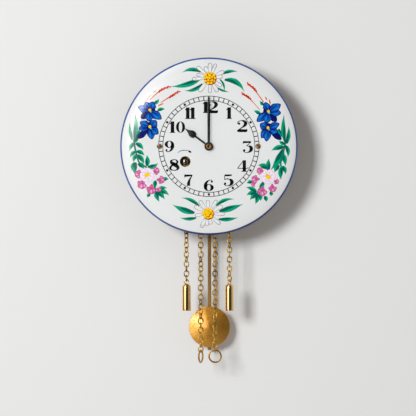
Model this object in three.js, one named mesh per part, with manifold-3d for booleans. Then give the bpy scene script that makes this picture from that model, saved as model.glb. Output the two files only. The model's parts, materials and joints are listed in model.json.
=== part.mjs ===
// Key-wound enamel wall clock with a pendulum and ornamental chain weights, in millimetres, +Z up.
// The wall is the plane y = 0 and the dial faces -Y. A "depth" is a distance from the wall.

import * as THREE from 'three';
import { mergeVertices } from 'three/addons/utils/BufferGeometryUtils.js';
import Module from 'manifold-3d';

const wasm = await Module();
wasm.setup();

// Clearances
const FIT = 0.3;
const RUNNING_GAP = 0.5;

// Dial: a pressed and enamelled steel dish with a flat middle, a gentle dome and a rolled rim
const DIAL_RADIUS = 75;
const DIAL_FLAT_MARGIN = 5.5;
const DIAL_EDGE_SLOPE = 0.38;
const DIAL_DOME_POWER = 4;
const DIAL_ROLL_RADIUS = 4;
const DIAL_LIP = 1;
const DIAL_SHEET = 1.2;
const DIAL_SCREW_INSET = 5.5;
const DIAL_SCREW_RADIUS = 1;
const DIAL_SCREW_HEAD_RADIUS = 2.3;
const DIAL_SCREW_HEAD_RISE = 1.1;
const DIAL_SCREW_REACH = 7;
const DIAL_POST_RADIUS = 3;
const SCREW_SLOT_WIDTH = 0.7;
const SCREW_SLOT_DEPTH = 0.5;
const LEFT_SLOT_TURN = 0.05;
const RIGHT_SLOT_TURN = 0.8;
const SCREW_CROWN_SHARE = 0.75;
const KEY_HOLE_RADIUS = 4.5;

// Case: a small wooden box behind the dial, drawn round the movement
const CASE_SIDE_GAP = 1.2;
const CASE_HEADROOM = 14;
const CASE_FOOTROOM = 16.3;
const BOARD = 5;
const PENDULUM_SLOT_HALF_LENGTH = 13;
const PENDULUM_SLOT_WIDTH = 9;
const HANGER_MARGIN = 1.5;
const HANGER_HEAD_RADIUS = 4.5;
const HANGER_NECK_WIDTH = 4.6;
const HANGER_NECK_LENGTH = 7;
const CASE_SCREW_INSET = 7;
const CASE_SCREW_RADIUS = 1.3;
const CASE_SCREW_LENGTH = 9;
const CASE_SCREW_HEAD_RADIUS = 2.4;
const CASE_SCREW_HEAD_RISE = 1.2;

// Movement frame
const PLATE = 1.5;
const PLATE_MARGIN = 2;
const PLATE_CORNER = 4;
const PLATE_END_GAP = 0.8;
const BACK_PLATE_STANDOFF = 3.3;
const PILLAR_RADIUS = 2.2;
const PILLAR_STUD_RADIUS = 1.2;
const PILLAR_INSET = 4.5;
const NUT_RADIUS = 2.8;
const NUT_HEIGHT = 2;
const NUT_SIDES = 6;

// Going train: tooth counts, and the rise of each wheel from the inner face of the back plate
const BARREL_X = -19.9;
const BARREL_Z = -12.8;
const BARREL_TEETH = 54;
const CENTRE_PINION_LEAVES = 9;
const CENTRE_WHEEL_TEETH = 60;
const CENTRE_WHEEL_MODULE = 0.56;
const THIRD_PINION_LEAVES = 6;
const THIRD_WHEEL_TEETH = 54;
const THIRD_WHEEL_MODULE = 0.48;
const ESCAPE_PINION_LEAVES = 6;
const ESCAPE_TEETH = 48;
const ESCAPE_RADIUS = 8.6;
const ESCAPE_TOOTH_DEPTH = 1.5;
const ESCAPE_TOOTH_LEAN = 0.25;
const ESCAPE_RIM = 1.5;
const ESCAPE_HUB_RADIUS = 1.95;
const ESCAPE_SPOKE_WIDTH = 1.1;
const ESCAPE_SHEET = 0.7;
const PALLET_HEIGHT = 33;
const PALLET_SPAN_TEETH = 12.5;
const PALLET_CLEARANCE = 1.1;
const ANCHOR_ARM = 1;
const ANCHOR_WAIST = 1.6;
const WHEEL_SHEET = 1;
const WHEEL_RIM = 0.7;
const WHEEL_HUB_RADIUS = 2.7;
const SPOKES = 4;
const SPOKE_WIDTH = 1.5;
const ARBOR_RADIUS = 0.75;
const PIVOT_RADIUS = 0.5;
const GREAT_WHEEL_RISE = 0.8;
const GREAT_WHEEL_SHEET = 2;
const THIRD_WHEEL_RISE = 4.6;
const ESCAPE_WHEEL_RISE = 8;
const BARREL_STACK_GAP = 0.9;
const PINION_OVERLAP = 0.5;

// Tooth form, in shares of the module and of the pitch
const WHEEL_ADDENDUM = 0.8;
const WHEEL_DEDENDUM = 1.8;
const LEAF_ADDENDUM = 0.75;
const LEAF_DEDENDUM = 1.45;
const LEAF_TIP_SHARE = 0.12;
const LEAF_ROOT_SHARE = 0.17;

// Spring barrel and winding work
const DRUM_INSET = 0.93;
const DRUM_WALL = 1;
const DRUM_HEIGHT = 6.7;
const BARREL_CAP_SHEET = 0.8;
const SPRING_TURNS = 4;
const SPRING_STEPS_PER_TURN = 10;
const SPRING_THICKNESS = 0.5;
const WINDING_HUB_RADIUS = 4;
const WINDING_ARBOR_RADIUS = 2.3;
const WINDING_SQUARE = 3.6;
const WINDING_END_SETBACK = 2.8;
const RATCHET_TEETH = 24;
const RATCHET_RADIUS = 7.5;
const RATCHET_TOOTH_DEPTH = 1.1;
const RATCHET_SHEET = 1.4;
const CLICK_LENGTH = 9;
const CLICK_TIP_ANGLE = 2.2;
const CLICK_LEAN = 0.6;
const CLICK_BOSS_RADIUS = 2.2;
const CLICK_BEAK = 1.1;
const CLICK_STUD_RADIUS = 1.1;
const CLICK_BEARING = 2.2;
const CLICK_SPRING_THICKNESS = 0.6;
const CLICK_SPRING_TAIL = 4;
const CLICK_SPRING_REACH = 8;
const CLICK_SPRING_FOOT = 2.4;

// Motion work and hands
const MOTION_CENTRES = 12;
const MOTION_ANGLE = -0.7;
const CANNON_TEETH = 8;
const MINUTE_WHEEL_TEETH = 24;
const MINUTE_PINION_LEAVES = 6;
const HOUR_WHEEL_TEETH = 24;
const MOTION_SHEET = 1.2;
const CANNON_LEAF_HEIGHT = 1.8;
const CENTRE_ARBOR_FRONT_RADIUS = 1;
const CANNON_RADIUS = 1.8;
const HOUR_PIPE_WALL = 0.7;
const MINUTE_POST_RADIUS = 0.6;
const HAND_SHEET = 0.7;
const HOUR_HAND_RISE = 1.3;
const HAND_SPACING = 1.3;
const HAND_HUB_RADIUS = 3.7;
const HOUR_HAND_LENGTH = 26.2;
const HOUR_STEM_WIDTH = 1.6;
const HOUR_BULGE_WIDTH = 5.9;
const HOUR_BULGE_CENTRE = 17.3;
const HOUR_BULGE_START = 14;
const HOUR_HAND_ANGLE = 0.93;
const MINUTE_HAND_LENGTH = 42;
const MINUTE_HUB_WIDTH = 2.1;
const MINUTE_WAIST_WIDTH = 2.5;
const MINUTE_WAIST_AT = 34;
const MINUTE_TIP_WIDTH = 1.1;
const HAND_TIP_WIDTH = 0.3;
const HAND_NUT_RADIUS = 2.4;
const HAND_NUT_TOP_RADIUS = 1.8;
const HAND_NUT_HOLE = 0.8;
const HAND_NUT_HEIGHT = 1.5;

// Pendulum
const PENDULUM_DEPTH = 12.5;
const LEADER_LENGTH = 46;
const LEADER_WIRE_RADIUS = 0.7;
const LEADER_BOSS_RADIUS = 2.2;
const LEADER_BOSS_WIDTH = 2.4;
const EYE_RADIUS = 2.2;
const EYE_WIRE_RADIUS = 0.5;
const ROD_WIDTH = 3;
const ROD_THICKNESS = 2.4;
const ROD_BORE_DEPTH = 9;
const ROD_TIP = 2.45;
const BOB_RADIUS = 17.5;
const BOB_CENTRE = -154.5;
const BOB_EDGE = 0.8;
const BOB_RISE = 3;
const BOB_TIP_RADIUS = 1.6;
const BOB_TIP_FLATNESS = 0.1;
const BOB_STRAP_HEIGHT = 12;
const BOB_STRAP_WIDTH = 6;
const BOB_STRAP_SHEET = 0.8;

// Ornamental chains
const HOOK_COUNT = 4;
const HOOK_SPACING = 12.15;
const HOOK_ROW_CENTRE = -0.95;
const HOOK_HEIGHT = -62.42;
const HOOK_WIDTH = 0.7;
const HOOK_THICKNESS = 0.9;
const HOOK_TIP_RISE = 1.5;
const HOOK_STRIP_LAP = 8.5;
const HOOK_STRIP_FOOT = 0.8;
const HOOK_STRIP_MARGIN = 4;
const HOOK_STRIP_SHEET = 0.8;
const CHAIN_STANDOFF = 2.75;
const RIM_CLEARANCE = 1.5;
const LINK_LENGTH = 5.93;
const LINK_WIDTH = 4.9;
const LINK_WIRE = 1.05;
const LINK_BITE = 0.18;
const WEIGHT_LINKS = 13;
const RING_LINKS = 28;
const WEIGHT_RADIUS = 3.7;
const WEIGHT_LENGTH = 22.5;
const WEIGHT_SHOULDER = 2.6;
const WEIGHT_CHAMFER = 0.3;
const WEIGHT_EYE_RADIUS = 1.9;
const RING_RADIUS = 5.08;
const RING_WIRE_RADIUS = 0.72;
const RING_GAP = 0.4;
const RING_GAP_ANGLE = 0.85;

// The twist along each run, at even steps from its hook to its end
const LEFT_WEIGHT_TWIST = [0, 0.8, 1.1, Math.PI / 2];
const LEFT_RING_TWIST = [0, 1.57, 1.57, 0.8, 0, 0, 0.5, 1.4, 1.5, 1.257];
const RIGHT_RING_TWIST = [0, 1.57, 1.57, 1.57, 1.57, 1.57, 1.9, 2.36, 2.5, Math.PI];
const RIGHT_WEIGHT_TWIST = [0, -0.6, 0, -0.7];

// Facets
const DIAL_SEGMENTS = 40;
const DIAL_DOME_STEPS = 3;
const DIAL_ROLL_STEPS = 2;
const BOB_SEGMENTS = 32;
const SHOULDER_STEPS = 3;
const CROSSING_STEPS = 2;
const CORNER_STEPS = 2;
const CURVE_STEPS = 4;
const LINK_STEPS = 6;
const LINK_SIDES = 3;
const ROUND = 16;
const MEDIUM_ROUND = 12;
const SMALL_ROUND = 8;
const FINE_ROUND = 6;
const WIRE_SIDES = 4;
const FULL_TURN = 2 * Math.PI;

// Train centres, in x and z
const CENTRE = [0, 0];
const BARREL = [BARREL_X, BARREL_Z];
const GREAT_MODULE = (2 * Math.hypot(...BARREL)) / (BARREL_TEETH + CENTRE_PINION_LEAVES);
const GREAT_TIP_RADIUS = GREAT_MODULE * (BARREL_TEETH / 2 + WHEEL_ADDENDUM);
const DRUM_RADIUS = GREAT_MODULE * (BARREL_TEETH / 2 - WHEEL_DEDENDUM) - DRUM_INSET;
const PALLET = [0, PALLET_HEIGHT];
const PALLET_HALF_ANGLE = (Math.PI * PALLET_SPAN_TEETH) / ESCAPE_TEETH;
const ESCAPE = [0, PALLET_HEIGHT - ESCAPE_RADIUS / Math.cos(PALLET_HALF_ANGLE)];
const CENTRE_TO_THIRD = (CENTRE_WHEEL_MODULE * (CENTRE_WHEEL_TEETH + THIRD_PINION_LEAVES)) / 2;
const THIRD_TO_ESCAPE = (THIRD_WHEEL_MODULE * (THIRD_WHEEL_TEETH + ESCAPE_PINION_LEAVES)) / 2;
const THIRD_Z = (CENTRE_TO_THIRD ** 2 - THIRD_TO_ESCAPE ** 2 + ESCAPE[1] ** 2) / (2 * ESCAPE[1]);
const THIRD = [Math.sqrt(CENTRE_TO_THIRD ** 2 - THIRD_Z ** 2), THIRD_Z];
const MINUTE_POST = polar(MOTION_CENTRES, MOTION_ANGLE);
const CANNON_MODULE = (2 * MOTION_CENTRES) / (CANNON_TEETH + MINUTE_WHEEL_TEETH);
const HOUR_MODULE = (2 * MOTION_CENTRES) / (MINUTE_PINION_LEAVES + HOUR_WHEEL_TEETH);
const GREAT_MESH = meshAngles(BARREL, CENTRE, CENTRE_PINION_LEAVES);
const CENTRE_MESH = meshAngles(CENTRE, THIRD, THIRD_PINION_LEAVES);
const THIRD_MESH = meshAngles(THIRD, ESCAPE, ESCAPE_PINION_LEAVES);
const CANNON_MESH = meshAngles(MINUTE_POST, CENTRE, CANNON_TEETH);
const HOUR_MESH = meshAngles(CENTRE, MINUTE_POST, MINUTE_PINION_LEAVES);

// The click's stud: its beak rides on the crests of the ratchet's teeth
const CLICK_TIP_RADIUS = RATCHET_RADIUS + FIT;
const CLICK_STUD_ANGLE = CLICK_TIP_ANGLE + Math.PI / 2 - CLICK_LEAN;
const CLICK_STUD = clickStudPlace();

// The case and the frame, drawn round the train
const CASE_INNER = GREAT_TIP_RADIUS + CASE_SIDE_GAP - BARREL_X;
const CASE_HALF_WIDTH = CASE_INNER + BOARD;
const CASE_TOP = PALLET_HEIGHT + CASE_HEADROOM;
const CASE_BOTTOM = BARREL_Z - GREAT_TIP_RADIUS - CASE_FOOTROOM;
const HANGER_HEIGHT = CASE_TOP - BOARD - HANGER_MARGIN - HANGER_NECK_LENGTH - HANGER_HEAD_RADIUS;
const BACK_PLATE_HALF_WIDTH = CASE_INNER - PLATE_MARGIN;
const BACK_PLATE_TOP = CASE_TOP - BOARD - PLATE_MARGIN;
const BACK_PLATE_BOTTOM = CASE_BOTTOM + BOARD + PLATE_MARGIN;
const PILLARS = corners(
  BACK_PLATE_HALF_WIDTH - PILLAR_INSET, BACK_PLATE_BOTTOM + PILLAR_INSET, BACK_PLATE_TOP - PILLAR_INSET);
const CASE_SCREW_X = CASE_HALF_WIDTH - BOARD / 2;
const CASE_SCREW_TOP = CASE_TOP - CASE_SCREW_INSET;
const CASE_SCREW_BOTTOM = CASE_BOTTOM + CASE_SCREW_INSET;
const CASE_SCREWS = corners(CASE_SCREW_X, CASE_SCREW_BOTTOM, CASE_SCREW_TOP);
const DIAL_SCREW_X = CASE_HALF_WIDTH - DIAL_SCREW_INSET;
const DIAL_FLAT_RADIUS = DIAL_SCREW_X + DIAL_FLAT_MARGIN;
const HOOK_STRIP_TOP = CASE_BOTTOM + HOOK_STRIP_LAP;

// Depths worked out from the stack of plates, and the dial's depth so that its rim clears the chains
const BACK_PLATE_DEPTH = PENDULUM_DEPTH + LEADER_BOSS_WIDTH / 2 + BACK_PLATE_STANDOFF;
const BACK_PLATE_FACE = BACK_PLATE_DEPTH + PLATE;
const BARREL_STACK = GREAT_WHEEL_RISE + GREAT_WHEEL_SHEET + DRUM_HEIGHT + BARREL_CAP_SHEET;
const CENTRE_WHEEL_RISE = BARREL_STACK + BARREL_STACK_GAP;
const PLATE_GAP = CENTRE_WHEEL_RISE + WHEEL_SHEET + PINION_OVERLAP + PLATE_END_GAP;
const FRONT_PLATE_DEPTH = BACK_PLATE_FACE + PLATE_GAP;
const FRONT_FACE = FRONT_PLATE_DEPTH + PLATE;
const CHAIN_DEPTH = FRONT_FACE + CHAIN_STANDOFF;
const DIAL_ROLL_CENTRE = DIAL_RADIUS - DIAL_ROLL_RADIUS;
const DIAL_DOME_WIDTH = DIAL_ROLL_CENTRE + DIAL_ROLL_RADIUS * Math.sin(DIAL_EDGE_SLOPE) - DIAL_FLAT_RADIUS;
const DIAL_CROWN = (DIAL_DOME_WIDTH * Math.tan(DIAL_EDGE_SLOPE)) / DIAL_DOME_POWER;
const DIAL_ROLL_DEPTH = CHAIN_DEPTH + LINK_WIDTH / 2 + RIM_CLEARANCE + DIAL_LIP;
const DIAL_FRONT = DIAL_ROLL_DEPTH + DIAL_ROLL_RADIUS * Math.cos(DIAL_EDGE_SLOPE) + DIAL_CROWN;
const DIAL_BACK = DIAL_FRONT - DIAL_SHEET;
const HOUR_HAND_DEPTH = DIAL_FRONT + HOUR_HAND_RISE;
const MINUTE_HAND_DEPTH = HOUR_HAND_DEPTH + HAND_SHEET + HAND_SPACING;
const LINK_PITCH = LINK_LENGTH - 2 * LINK_WIRE + LINK_BITE;
const FIRST_LINK = HOOK_HEIGHT + HOOK_THICKNESS / 2 + FIT + LINK_WIRE - LINK_LENGTH / 2;

// Materials: each piece gets its own
const FINISHES = {
  enamel: [0xf0f0ec, 0.15, 0],
  brass: [0xb8923c, 0.35, 1],
  polishedBrass: [0xc9a24a, 0.18, 1],
  satinBrass: [0xb89a5a, 0.45, 1],
  steel: [0x9a9c9e, 0.35, 1],
  bluedSteel: [0x1c2230, 0.3, 1],
  wood: [0x6b4426, 0.65, 0],
  stainedWood: [0x8a6236, 0.7, 0],
};

const clock = new THREE.Group();

function addPiece(name, geometry, finish, x = 0, z = 0) {
  const [color, roughness, metalness] = FINISHES[finish];
  const mesh = new THREE.Mesh(geometry, new THREE.MeshStandardMaterial({ color, roughness, metalness }));
  mesh.name = name;
  mesh.position.set(x, 0, z);
  clock.add(mesh);
}

// Solids from closed meshes, and back
function toSolid(geometry) {
  const bare = geometry.clone();
  bare.deleteAttribute('normal');
  bare.deleteAttribute('uv');
  const welded = mergeVertices(bare);
  const at = welded.attributes.position;
  const corners = [0, 1, 2].map(() => new THREE.Vector3());
  const faces = [];
  let volume = 0;
  for (let i = 0; i < welded.index.count; i += 3) {
    const face = [0, 1, 2].map((k) => welded.index.getX(i + k));
    if (new Set(face).size === 3) {
      corners.forEach((corner, k) => corner.fromBufferAttribute(at, face[k]));
      volume += corners[0].dot(corners[1].cross(corners[2]));
      faces.push(face);
    }
  }
  const triVerts = new Uint32Array(faces.flatMap((face) => (volume < 0 ? face.reverse() : face)));
  const vertProperties = new Float32Array(at.array);
  return new wasm.Manifold(new wasm.Mesh({ numProp: 3, vertProperties, triVerts }));
}

function toGeometry(solid) {
  const { vertProperties, triVerts } = solid.getMesh();
  const geometry = new THREE.BufferGeometry();
  geometry.setAttribute('position', new THREE.BufferAttribute(vertProperties, 3));
  geometry.setIndex(new THREE.BufferAttribute(triVerts, 1));
  return geometry;
}

function fuse(...geometries) {
  return toGeometry(geometries.map(toSolid).reduce((sum, solid) => sum.add(solid)));
}

function cut(geometry, ...tools) {
  return toGeometry(tools.map(toSolid).reduce((rest, tool) => rest.subtract(tool), toSolid(geometry)));
}

// Forms along the depth axis: an extruded outline in x and z, and a turned profile of [radius, depth]
function extruded(shape, depth, thickness, segments = CURVE_STEPS) {
  const settings = { depth: thickness, bevelEnabled: false, curveSegments: segments };
  return new THREE.ExtrudeGeometry(shape, settings).translate(0, 0, depth).rotateX(Math.PI / 2);
}

function turned(profile, segments = ROUND) {
  const points = profile.map(([radius, depth]) => new THREE.Vector2(radius, depth));
  return toGeometry(toSolid(new THREE.LatheGeometry(points, segments).rotateX(Math.PI)));
}

// A profile of [radius, height] turned about the vertical
function turnedUpright(profile, segments = ROUND) {
  const points = profile.map(([radius, height]) => new THREE.Vector2(radius, height));
  return toGeometry(toSolid(new THREE.LatheGeometry(points, segments).rotateX(Math.PI / 2)));
}

function rod(radius, depth, length, segments = SMALL_ROUND) {
  return new THREE.CylinderGeometry(radius, radius, length, segments).translate(0, -depth - length / 2, 0);
}

function tube(outer, inner, depth, length, segments = ROUND) {
  const end = depth + length;
  return turned([[inner, depth], [outer, depth], [outer, end], [inner, end], [inner, depth]], segments);
}

function block(left, right, near, far, low, high) {
  const box = new THREE.BoxGeometry(right - left, far - near, high - low);
  return box.translate((left + right) / 2, -(near + far) / 2, (low + high) / 2);
}

function wireRing(radius, wireRadius, steps, sides) {
  return new THREE.TorusGeometry(radius, wireRadius, sides, steps).rotateX(Math.PI / 2);
}

function circle(x, z, radius, segments = FINE_ROUND) {
  const points = [];
  for (let k = 0; k < segments; k += 1) {
    const [across, up] = polar(radius, (k * FULL_TURN) / segments);
    points.push([x + across, z + up]);
  }
  return outline(points, THREE.Path);
}

function disc(radius) {
  return new THREE.Shape().absarc(0, 0, radius, 0, FULL_TURN);
}

function outline(points, Kind = THREE.Shape) {
  return new Kind(points.map(([x, z]) => new THREE.Vector2(x, z)));
}

function polar(radius, angle) {
  return [radius * Math.cos(angle), radius * Math.sin(angle)];
}

function roundedRectangle(left, right, low, high, corner) {
  const shape = new THREE.Shape();
  shape.absarc(right - corner, high - corner, corner, 0, Math.PI / 2);
  shape.absarc(left + corner, high - corner, corner, Math.PI / 2, Math.PI);
  shape.absarc(left + corner, low + corner, corner, Math.PI, 1.5 * Math.PI);
  shape.absarc(right - corner, low + corner, corner, 1.5 * Math.PI, FULL_TURN);
  return shape;
}

// Gears with the first tooth at a given angle: wheels have pointed teeth, and pinions slender leaves
function toothedOutline(teeth, module, firstTooth, leaf) {
  const pitchRadius = (teeth * module) / 2;
  const tip = pitchRadius + module * (leaf ? LEAF_ADDENDUM : WHEEL_ADDENDUM);
  const root = pitchRadius - module * (leaf ? LEAF_DEDENDUM : WHEEL_DEDENDUM);
  const pitch = FULL_TURN / teeth;
  const leafForm = [
    [root, -LEAF_ROOT_SHARE], [tip, -LEAF_TIP_SHARE], [tip, LEAF_TIP_SHARE], [root, LEAF_ROOT_SHARE],
  ];
  const pointedForm = [[tip, 0], [root, 0.5]];
  const points = [];
  for (let k = 0; k < teeth; k += 1) {
    for (const [radius, share] of leaf ? leafForm : pointedForm) {
      points.push(polar(radius, firstTooth + (k + share) * pitch));
    }
  }
  return outline(points);
}

// Crossings: windows between the spokes of a wheel
function crossOut(shape, hubRadius, rimRadius, spokeWidth) {
  const margin = Math.asin(spokeWidth / 2 / rimRadius);
  for (let k = 0; k < SPOKES; k += 1) {
    const from = (k * FULL_TURN) / SPOKES;
    const to = ((k + 1) * FULL_TURN) / SPOKES;
    const points = [];
    for (let i = 0; i <= CROSSING_STEPS; i += 1) {
      points.push(polar(rimRadius, from + margin + ((to - from - 2 * margin) * i) / CROSSING_STEPS));
    }
    const hubMargin = Math.asin(spokeWidth / 2 / hubRadius);
    points.push(polar(hubRadius, to - hubMargin), polar(hubRadius, from + hubMargin));
    shape.holes.push(outline(points, THREE.Path));
  }
  return shape;
}

// Two meshed gears: a tooth of the wheel lies in a gap of the leaf pinion on the line of centres
function meshAngles(from, to, leaves) {
  const angle = Math.atan2(to[1] - from[1], to[0] - from[0]);
  return { wheel: angle, pinion: angle + Math.PI + Math.PI / leaves };
}

function clickStudPlace() {
  const [tipX, tipZ] = polar(CLICK_TIP_RADIUS, CLICK_TIP_ANGLE);
  const [alongX, alongZ] = polar(CLICK_LENGTH, CLICK_STUD_ANGLE);
  return [BARREL_X + tipX + alongX, BARREL_Z + tipZ + alongZ];
}

function corners(x, low, high) {
  return { upper_left: [-x, high], upper_right: [x, high], lower_left: [-x, low], lower_right: [x, low] };
}

// Case boards
function addCase() {
  const inner = CASE_INNER;
  for (const [name, side] of [['case_left_side', -1], ['case_right_side', 1]]) {
    const [left, right] = side < 0 ? [-CASE_HALF_WIDTH, -inner] : [inner, CASE_HALF_WIDTH];
    const board = block(left, right, 0, FRONT_PLATE_DEPTH, CASE_BOTTOM, CASE_TOP);
    const bore = CASE_SCREW_LENGTH - PLATE + RUNNING_GAP;
    const pilots = [CASE_SCREW_TOP, CASE_SCREW_BOTTOM].map((height) =>
      rod(CASE_SCREW_RADIUS + FIT, FRONT_PLATE_DEPTH - bore, bore + PLATE)
        .translate(side * CASE_SCREW_X, 0, height));
    addPiece(name, cut(board, ...pilots), 'wood');
  }
  addPiece('case_top_board', block(-inner, inner, 0, FRONT_PLATE_DEPTH, CASE_TOP - BOARD, CASE_TOP), 'wood');
  const bottom = block(-inner, inner, 0, FRONT_PLATE_DEPTH, CASE_BOTTOM, CASE_BOTTOM + BOARD);
  const slot = block(
    -PENDULUM_SLOT_HALF_LENGTH, PENDULUM_SLOT_HALF_LENGTH,
    PENDULUM_DEPTH - PENDULUM_SLOT_WIDTH / 2, PENDULUM_DEPTH + PENDULUM_SLOT_WIDTH / 2,
    CASE_BOTTOM - BOARD, CASE_BOTTOM + 2 * BOARD);
  addPiece('case_bottom_board', cut(bottom, slot), 'wood');
  const back = outline([
    [-inner, CASE_BOTTOM + BOARD], [inner, CASE_BOTTOM + BOARD],
    [inner, CASE_TOP - BOARD], [-inner, CASE_TOP - BOARD],
  ]);
  const neckTurn = Math.asin(HANGER_NECK_WIDTH / 2 / HANGER_HEAD_RADIUS);
  const neckTop = HANGER_HEIGHT + HANGER_HEAD_RADIUS + HANGER_NECK_LENGTH - HANGER_NECK_WIDTH / 2;
  const keyhole = new THREE.Path();
  keyhole.absarc(0, neckTop, HANGER_NECK_WIDTH / 2, 0, Math.PI);
  keyhole.absarc(0, HANGER_HEIGHT, HANGER_HEAD_RADIUS, Math.PI / 2 + neckTurn, 2.5 * Math.PI - neckTurn);
  back.holes.push(keyhole);
  addPiece('case_back_board', extruded(back, 0, BOARD), 'wood');
  for (const [corner, [x, z]] of Object.entries(CASE_SCREWS)) {
    addPiece(`case_screw_${corner}`, woodScrew(), 'steel', x, z);
  }
}

function slottedHead(screw, headTop, radius, turn) {
  const slot = new THREE.BoxGeometry(3 * radius, 2 * SCREW_SLOT_DEPTH, SCREW_SLOT_WIDTH);
  return cut(screw, slot.rotateY(turn).translate(0, -headTop, 0));
}

function woodScrew() {
  const top = FRONT_FACE + CASE_SCREW_HEAD_RISE;
  const screw = turned([
    [0, FRONT_FACE - CASE_SCREW_LENGTH],
    [CASE_SCREW_RADIUS, FRONT_FACE - CASE_SCREW_LENGTH + 2 * CASE_SCREW_RADIUS],
    [CASE_SCREW_RADIUS, FRONT_FACE],
    [CASE_SCREW_HEAD_RADIUS, FRONT_FACE],
    [CASE_SCREW_HEAD_RADIUS * SCREW_CROWN_SHARE, top],
    [0, top],
  ], SMALL_ROUND);
  return slottedHead(screw, top, CASE_SCREW_HEAD_RADIUS, RIGHT_SLOT_TURN);
}

// Movement plates, pillars and nuts
function plateOutline(left, right, low, high) {
  const shape = roundedRectangle(left, right, low, high, PLATE_CORNER);
  const pivotHole = PIVOT_RADIUS + FIT;
  for (const [x, z] of [THIRD, ESCAPE]) {
    shape.holes.push(circle(x, z, pivotHole));
  }
  shape.holes.push(circle(...BARREL, WINDING_ARBOR_RADIUS + FIT, ROUND));
  for (const [x, z] of Object.values(PILLARS)) {
    shape.holes.push(circle(x, z, PILLAR_STUD_RADIUS + FIT));
  }
  return shape;
}

function addMovementFrame() {
  const back = plateOutline(
    -BACK_PLATE_HALF_WIDTH, BACK_PLATE_HALF_WIDTH, BACK_PLATE_BOTTOM, BACK_PLATE_TOP);
  back.holes.push(circle(...CENTRE, PIVOT_RADIUS + FIT), circle(...PALLET, ARBOR_RADIUS + FIT));
  addPiece('movement_back_plate', extruded(back, BACK_PLATE_DEPTH, PLATE, CORNER_STEPS), 'brass');

  const front = plateOutline(-CASE_HALF_WIDTH, CASE_HALF_WIDTH, CASE_BOTTOM, CASE_TOP);
  front.holes.push(circle(...CENTRE, CENTRE_ARBOR_FRONT_RADIUS + FIT));
  front.holes.push(circle(...PALLET, PIVOT_RADIUS + FIT));
  for (const [x, z] of Object.values(CASE_SCREWS)) {
    front.holes.push(circle(x, z, CASE_SCREW_RADIUS + FIT));
  }
  const minutePost = rod(MINUTE_POST_RADIUS, FRONT_PLATE_DEPTH, minuteWheelTop() - FRONT_PLATE_DEPTH);
  const clickStud = rod(CLICK_STUD_RADIUS, FRONT_PLATE_DEPTH, PLATE + CLICK_BEARING);
  const studs = [minutePost.translate(MINUTE_POST[0], 0, MINUTE_POST[1])];
  studs.push(clickStud.translate(CLICK_STUD[0], 0, CLICK_STUD[1]));
  const frontPlate = extruded(front, FRONT_PLATE_DEPTH, PLATE, CORNER_STEPS);
  addPiece('movement_front_plate', fuse(frontPlate, ...studs), 'brass');

  for (const [corner, [x, z]] of Object.entries(PILLARS)) {
    const nutTop = FRONT_FACE + NUT_HEIGHT;
    const pillar = turned([
      [0, BACK_PLATE_DEPTH], [PILLAR_STUD_RADIUS, BACK_PLATE_DEPTH], [PILLAR_STUD_RADIUS, BACK_PLATE_FACE],
      [PILLAR_RADIUS, BACK_PLATE_FACE], [PILLAR_RADIUS, FRONT_PLATE_DEPTH],
      [PILLAR_STUD_RADIUS, FRONT_PLATE_DEPTH], [PILLAR_STUD_RADIUS, nutTop], [0, nutTop],
    ], SMALL_ROUND);
    addPiece(`pillar_${corner}`, pillar, 'brass', x, z);
    const nut = new THREE.CylinderGeometry(NUT_RADIUS, NUT_RADIUS, NUT_HEIGHT, NUT_SIDES);
    nut.translate(0, -FRONT_FACE - NUT_HEIGHT / 2, 0);
    const thread = rod(PILLAR_STUD_RADIUS + FIT, FRONT_FACE - NUT_HEIGHT, 3 * NUT_HEIGHT);
    addPiece(`pillar_nut_${corner}`, cut(nut, thread), 'steel', x, z);
  }
}

// Going train: each steel arbor carries its pinion, and each brass wheel is its own piece
function arborProfile(front, frontRadius = PIVOT_RADIUS) {
  const shoulderBack = BACK_PLATE_FACE + FIT;
  const shoulderFront = FRONT_PLATE_DEPTH - FIT;
  return [
    [0, BACK_PLATE_DEPTH], [PIVOT_RADIUS, BACK_PLATE_DEPTH], [PIVOT_RADIUS, shoulderBack],
    [ARBOR_RADIUS, shoulderBack], [ARBOR_RADIUS, shoulderFront],
    [frontRadius, shoulderFront], [frontRadius, front], [0, front],
  ];
}

function pinionArbor(profile, leaves, module, firstGap, wheelRise, wheelSheet) {
  const depth = BACK_PLATE_FACE + wheelRise - PINION_OVERLAP;
  const pinion = extruded(
    toothedOutline(leaves, module, firstGap, true), depth, wheelSheet + 2 * PINION_OVERLAP);
  return fuse(turned(profile, FINE_ROUND), pinion);
}

function trainWheel(teeth, module, firstTooth, rise) {
  const shape = toothedOutline(teeth, module, firstTooth, false);
  const rim = (teeth / 2 - WHEEL_DEDENDUM) * module - WHEEL_RIM;
  crossOut(shape, WHEEL_HUB_RADIUS, rim, SPOKE_WIDTH);
  shape.holes.push(circle(0, 0, ARBOR_RADIUS + FIT));
  return extruded(shape, BACK_PLATE_FACE + rise, WHEEL_SHEET);
}

function escapeWheel() {
  const points = [];
  const pitch = FULL_TURN / ESCAPE_TEETH;
  for (let k = 0; k < ESCAPE_TEETH; k += 1) {
    points.push(polar(ESCAPE_RADIUS - ESCAPE_TOOTH_DEPTH, k * pitch));
    points.push(polar(ESCAPE_RADIUS, (k + ESCAPE_TOOTH_LEAN) * pitch));
  }
  const shape = outline(points);
  const rim = ESCAPE_RADIUS - ESCAPE_TOOTH_DEPTH - ESCAPE_RIM;
  crossOut(shape, ESCAPE_HUB_RADIUS, rim, ESCAPE_SPOKE_WIDTH);
  shape.holes.push(circle(0, 0, ARBOR_RADIUS + FIT));
  return extruded(shape, BACK_PLATE_FACE + ESCAPE_WHEEL_RISE, ESCAPE_SHEET);
}

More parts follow.
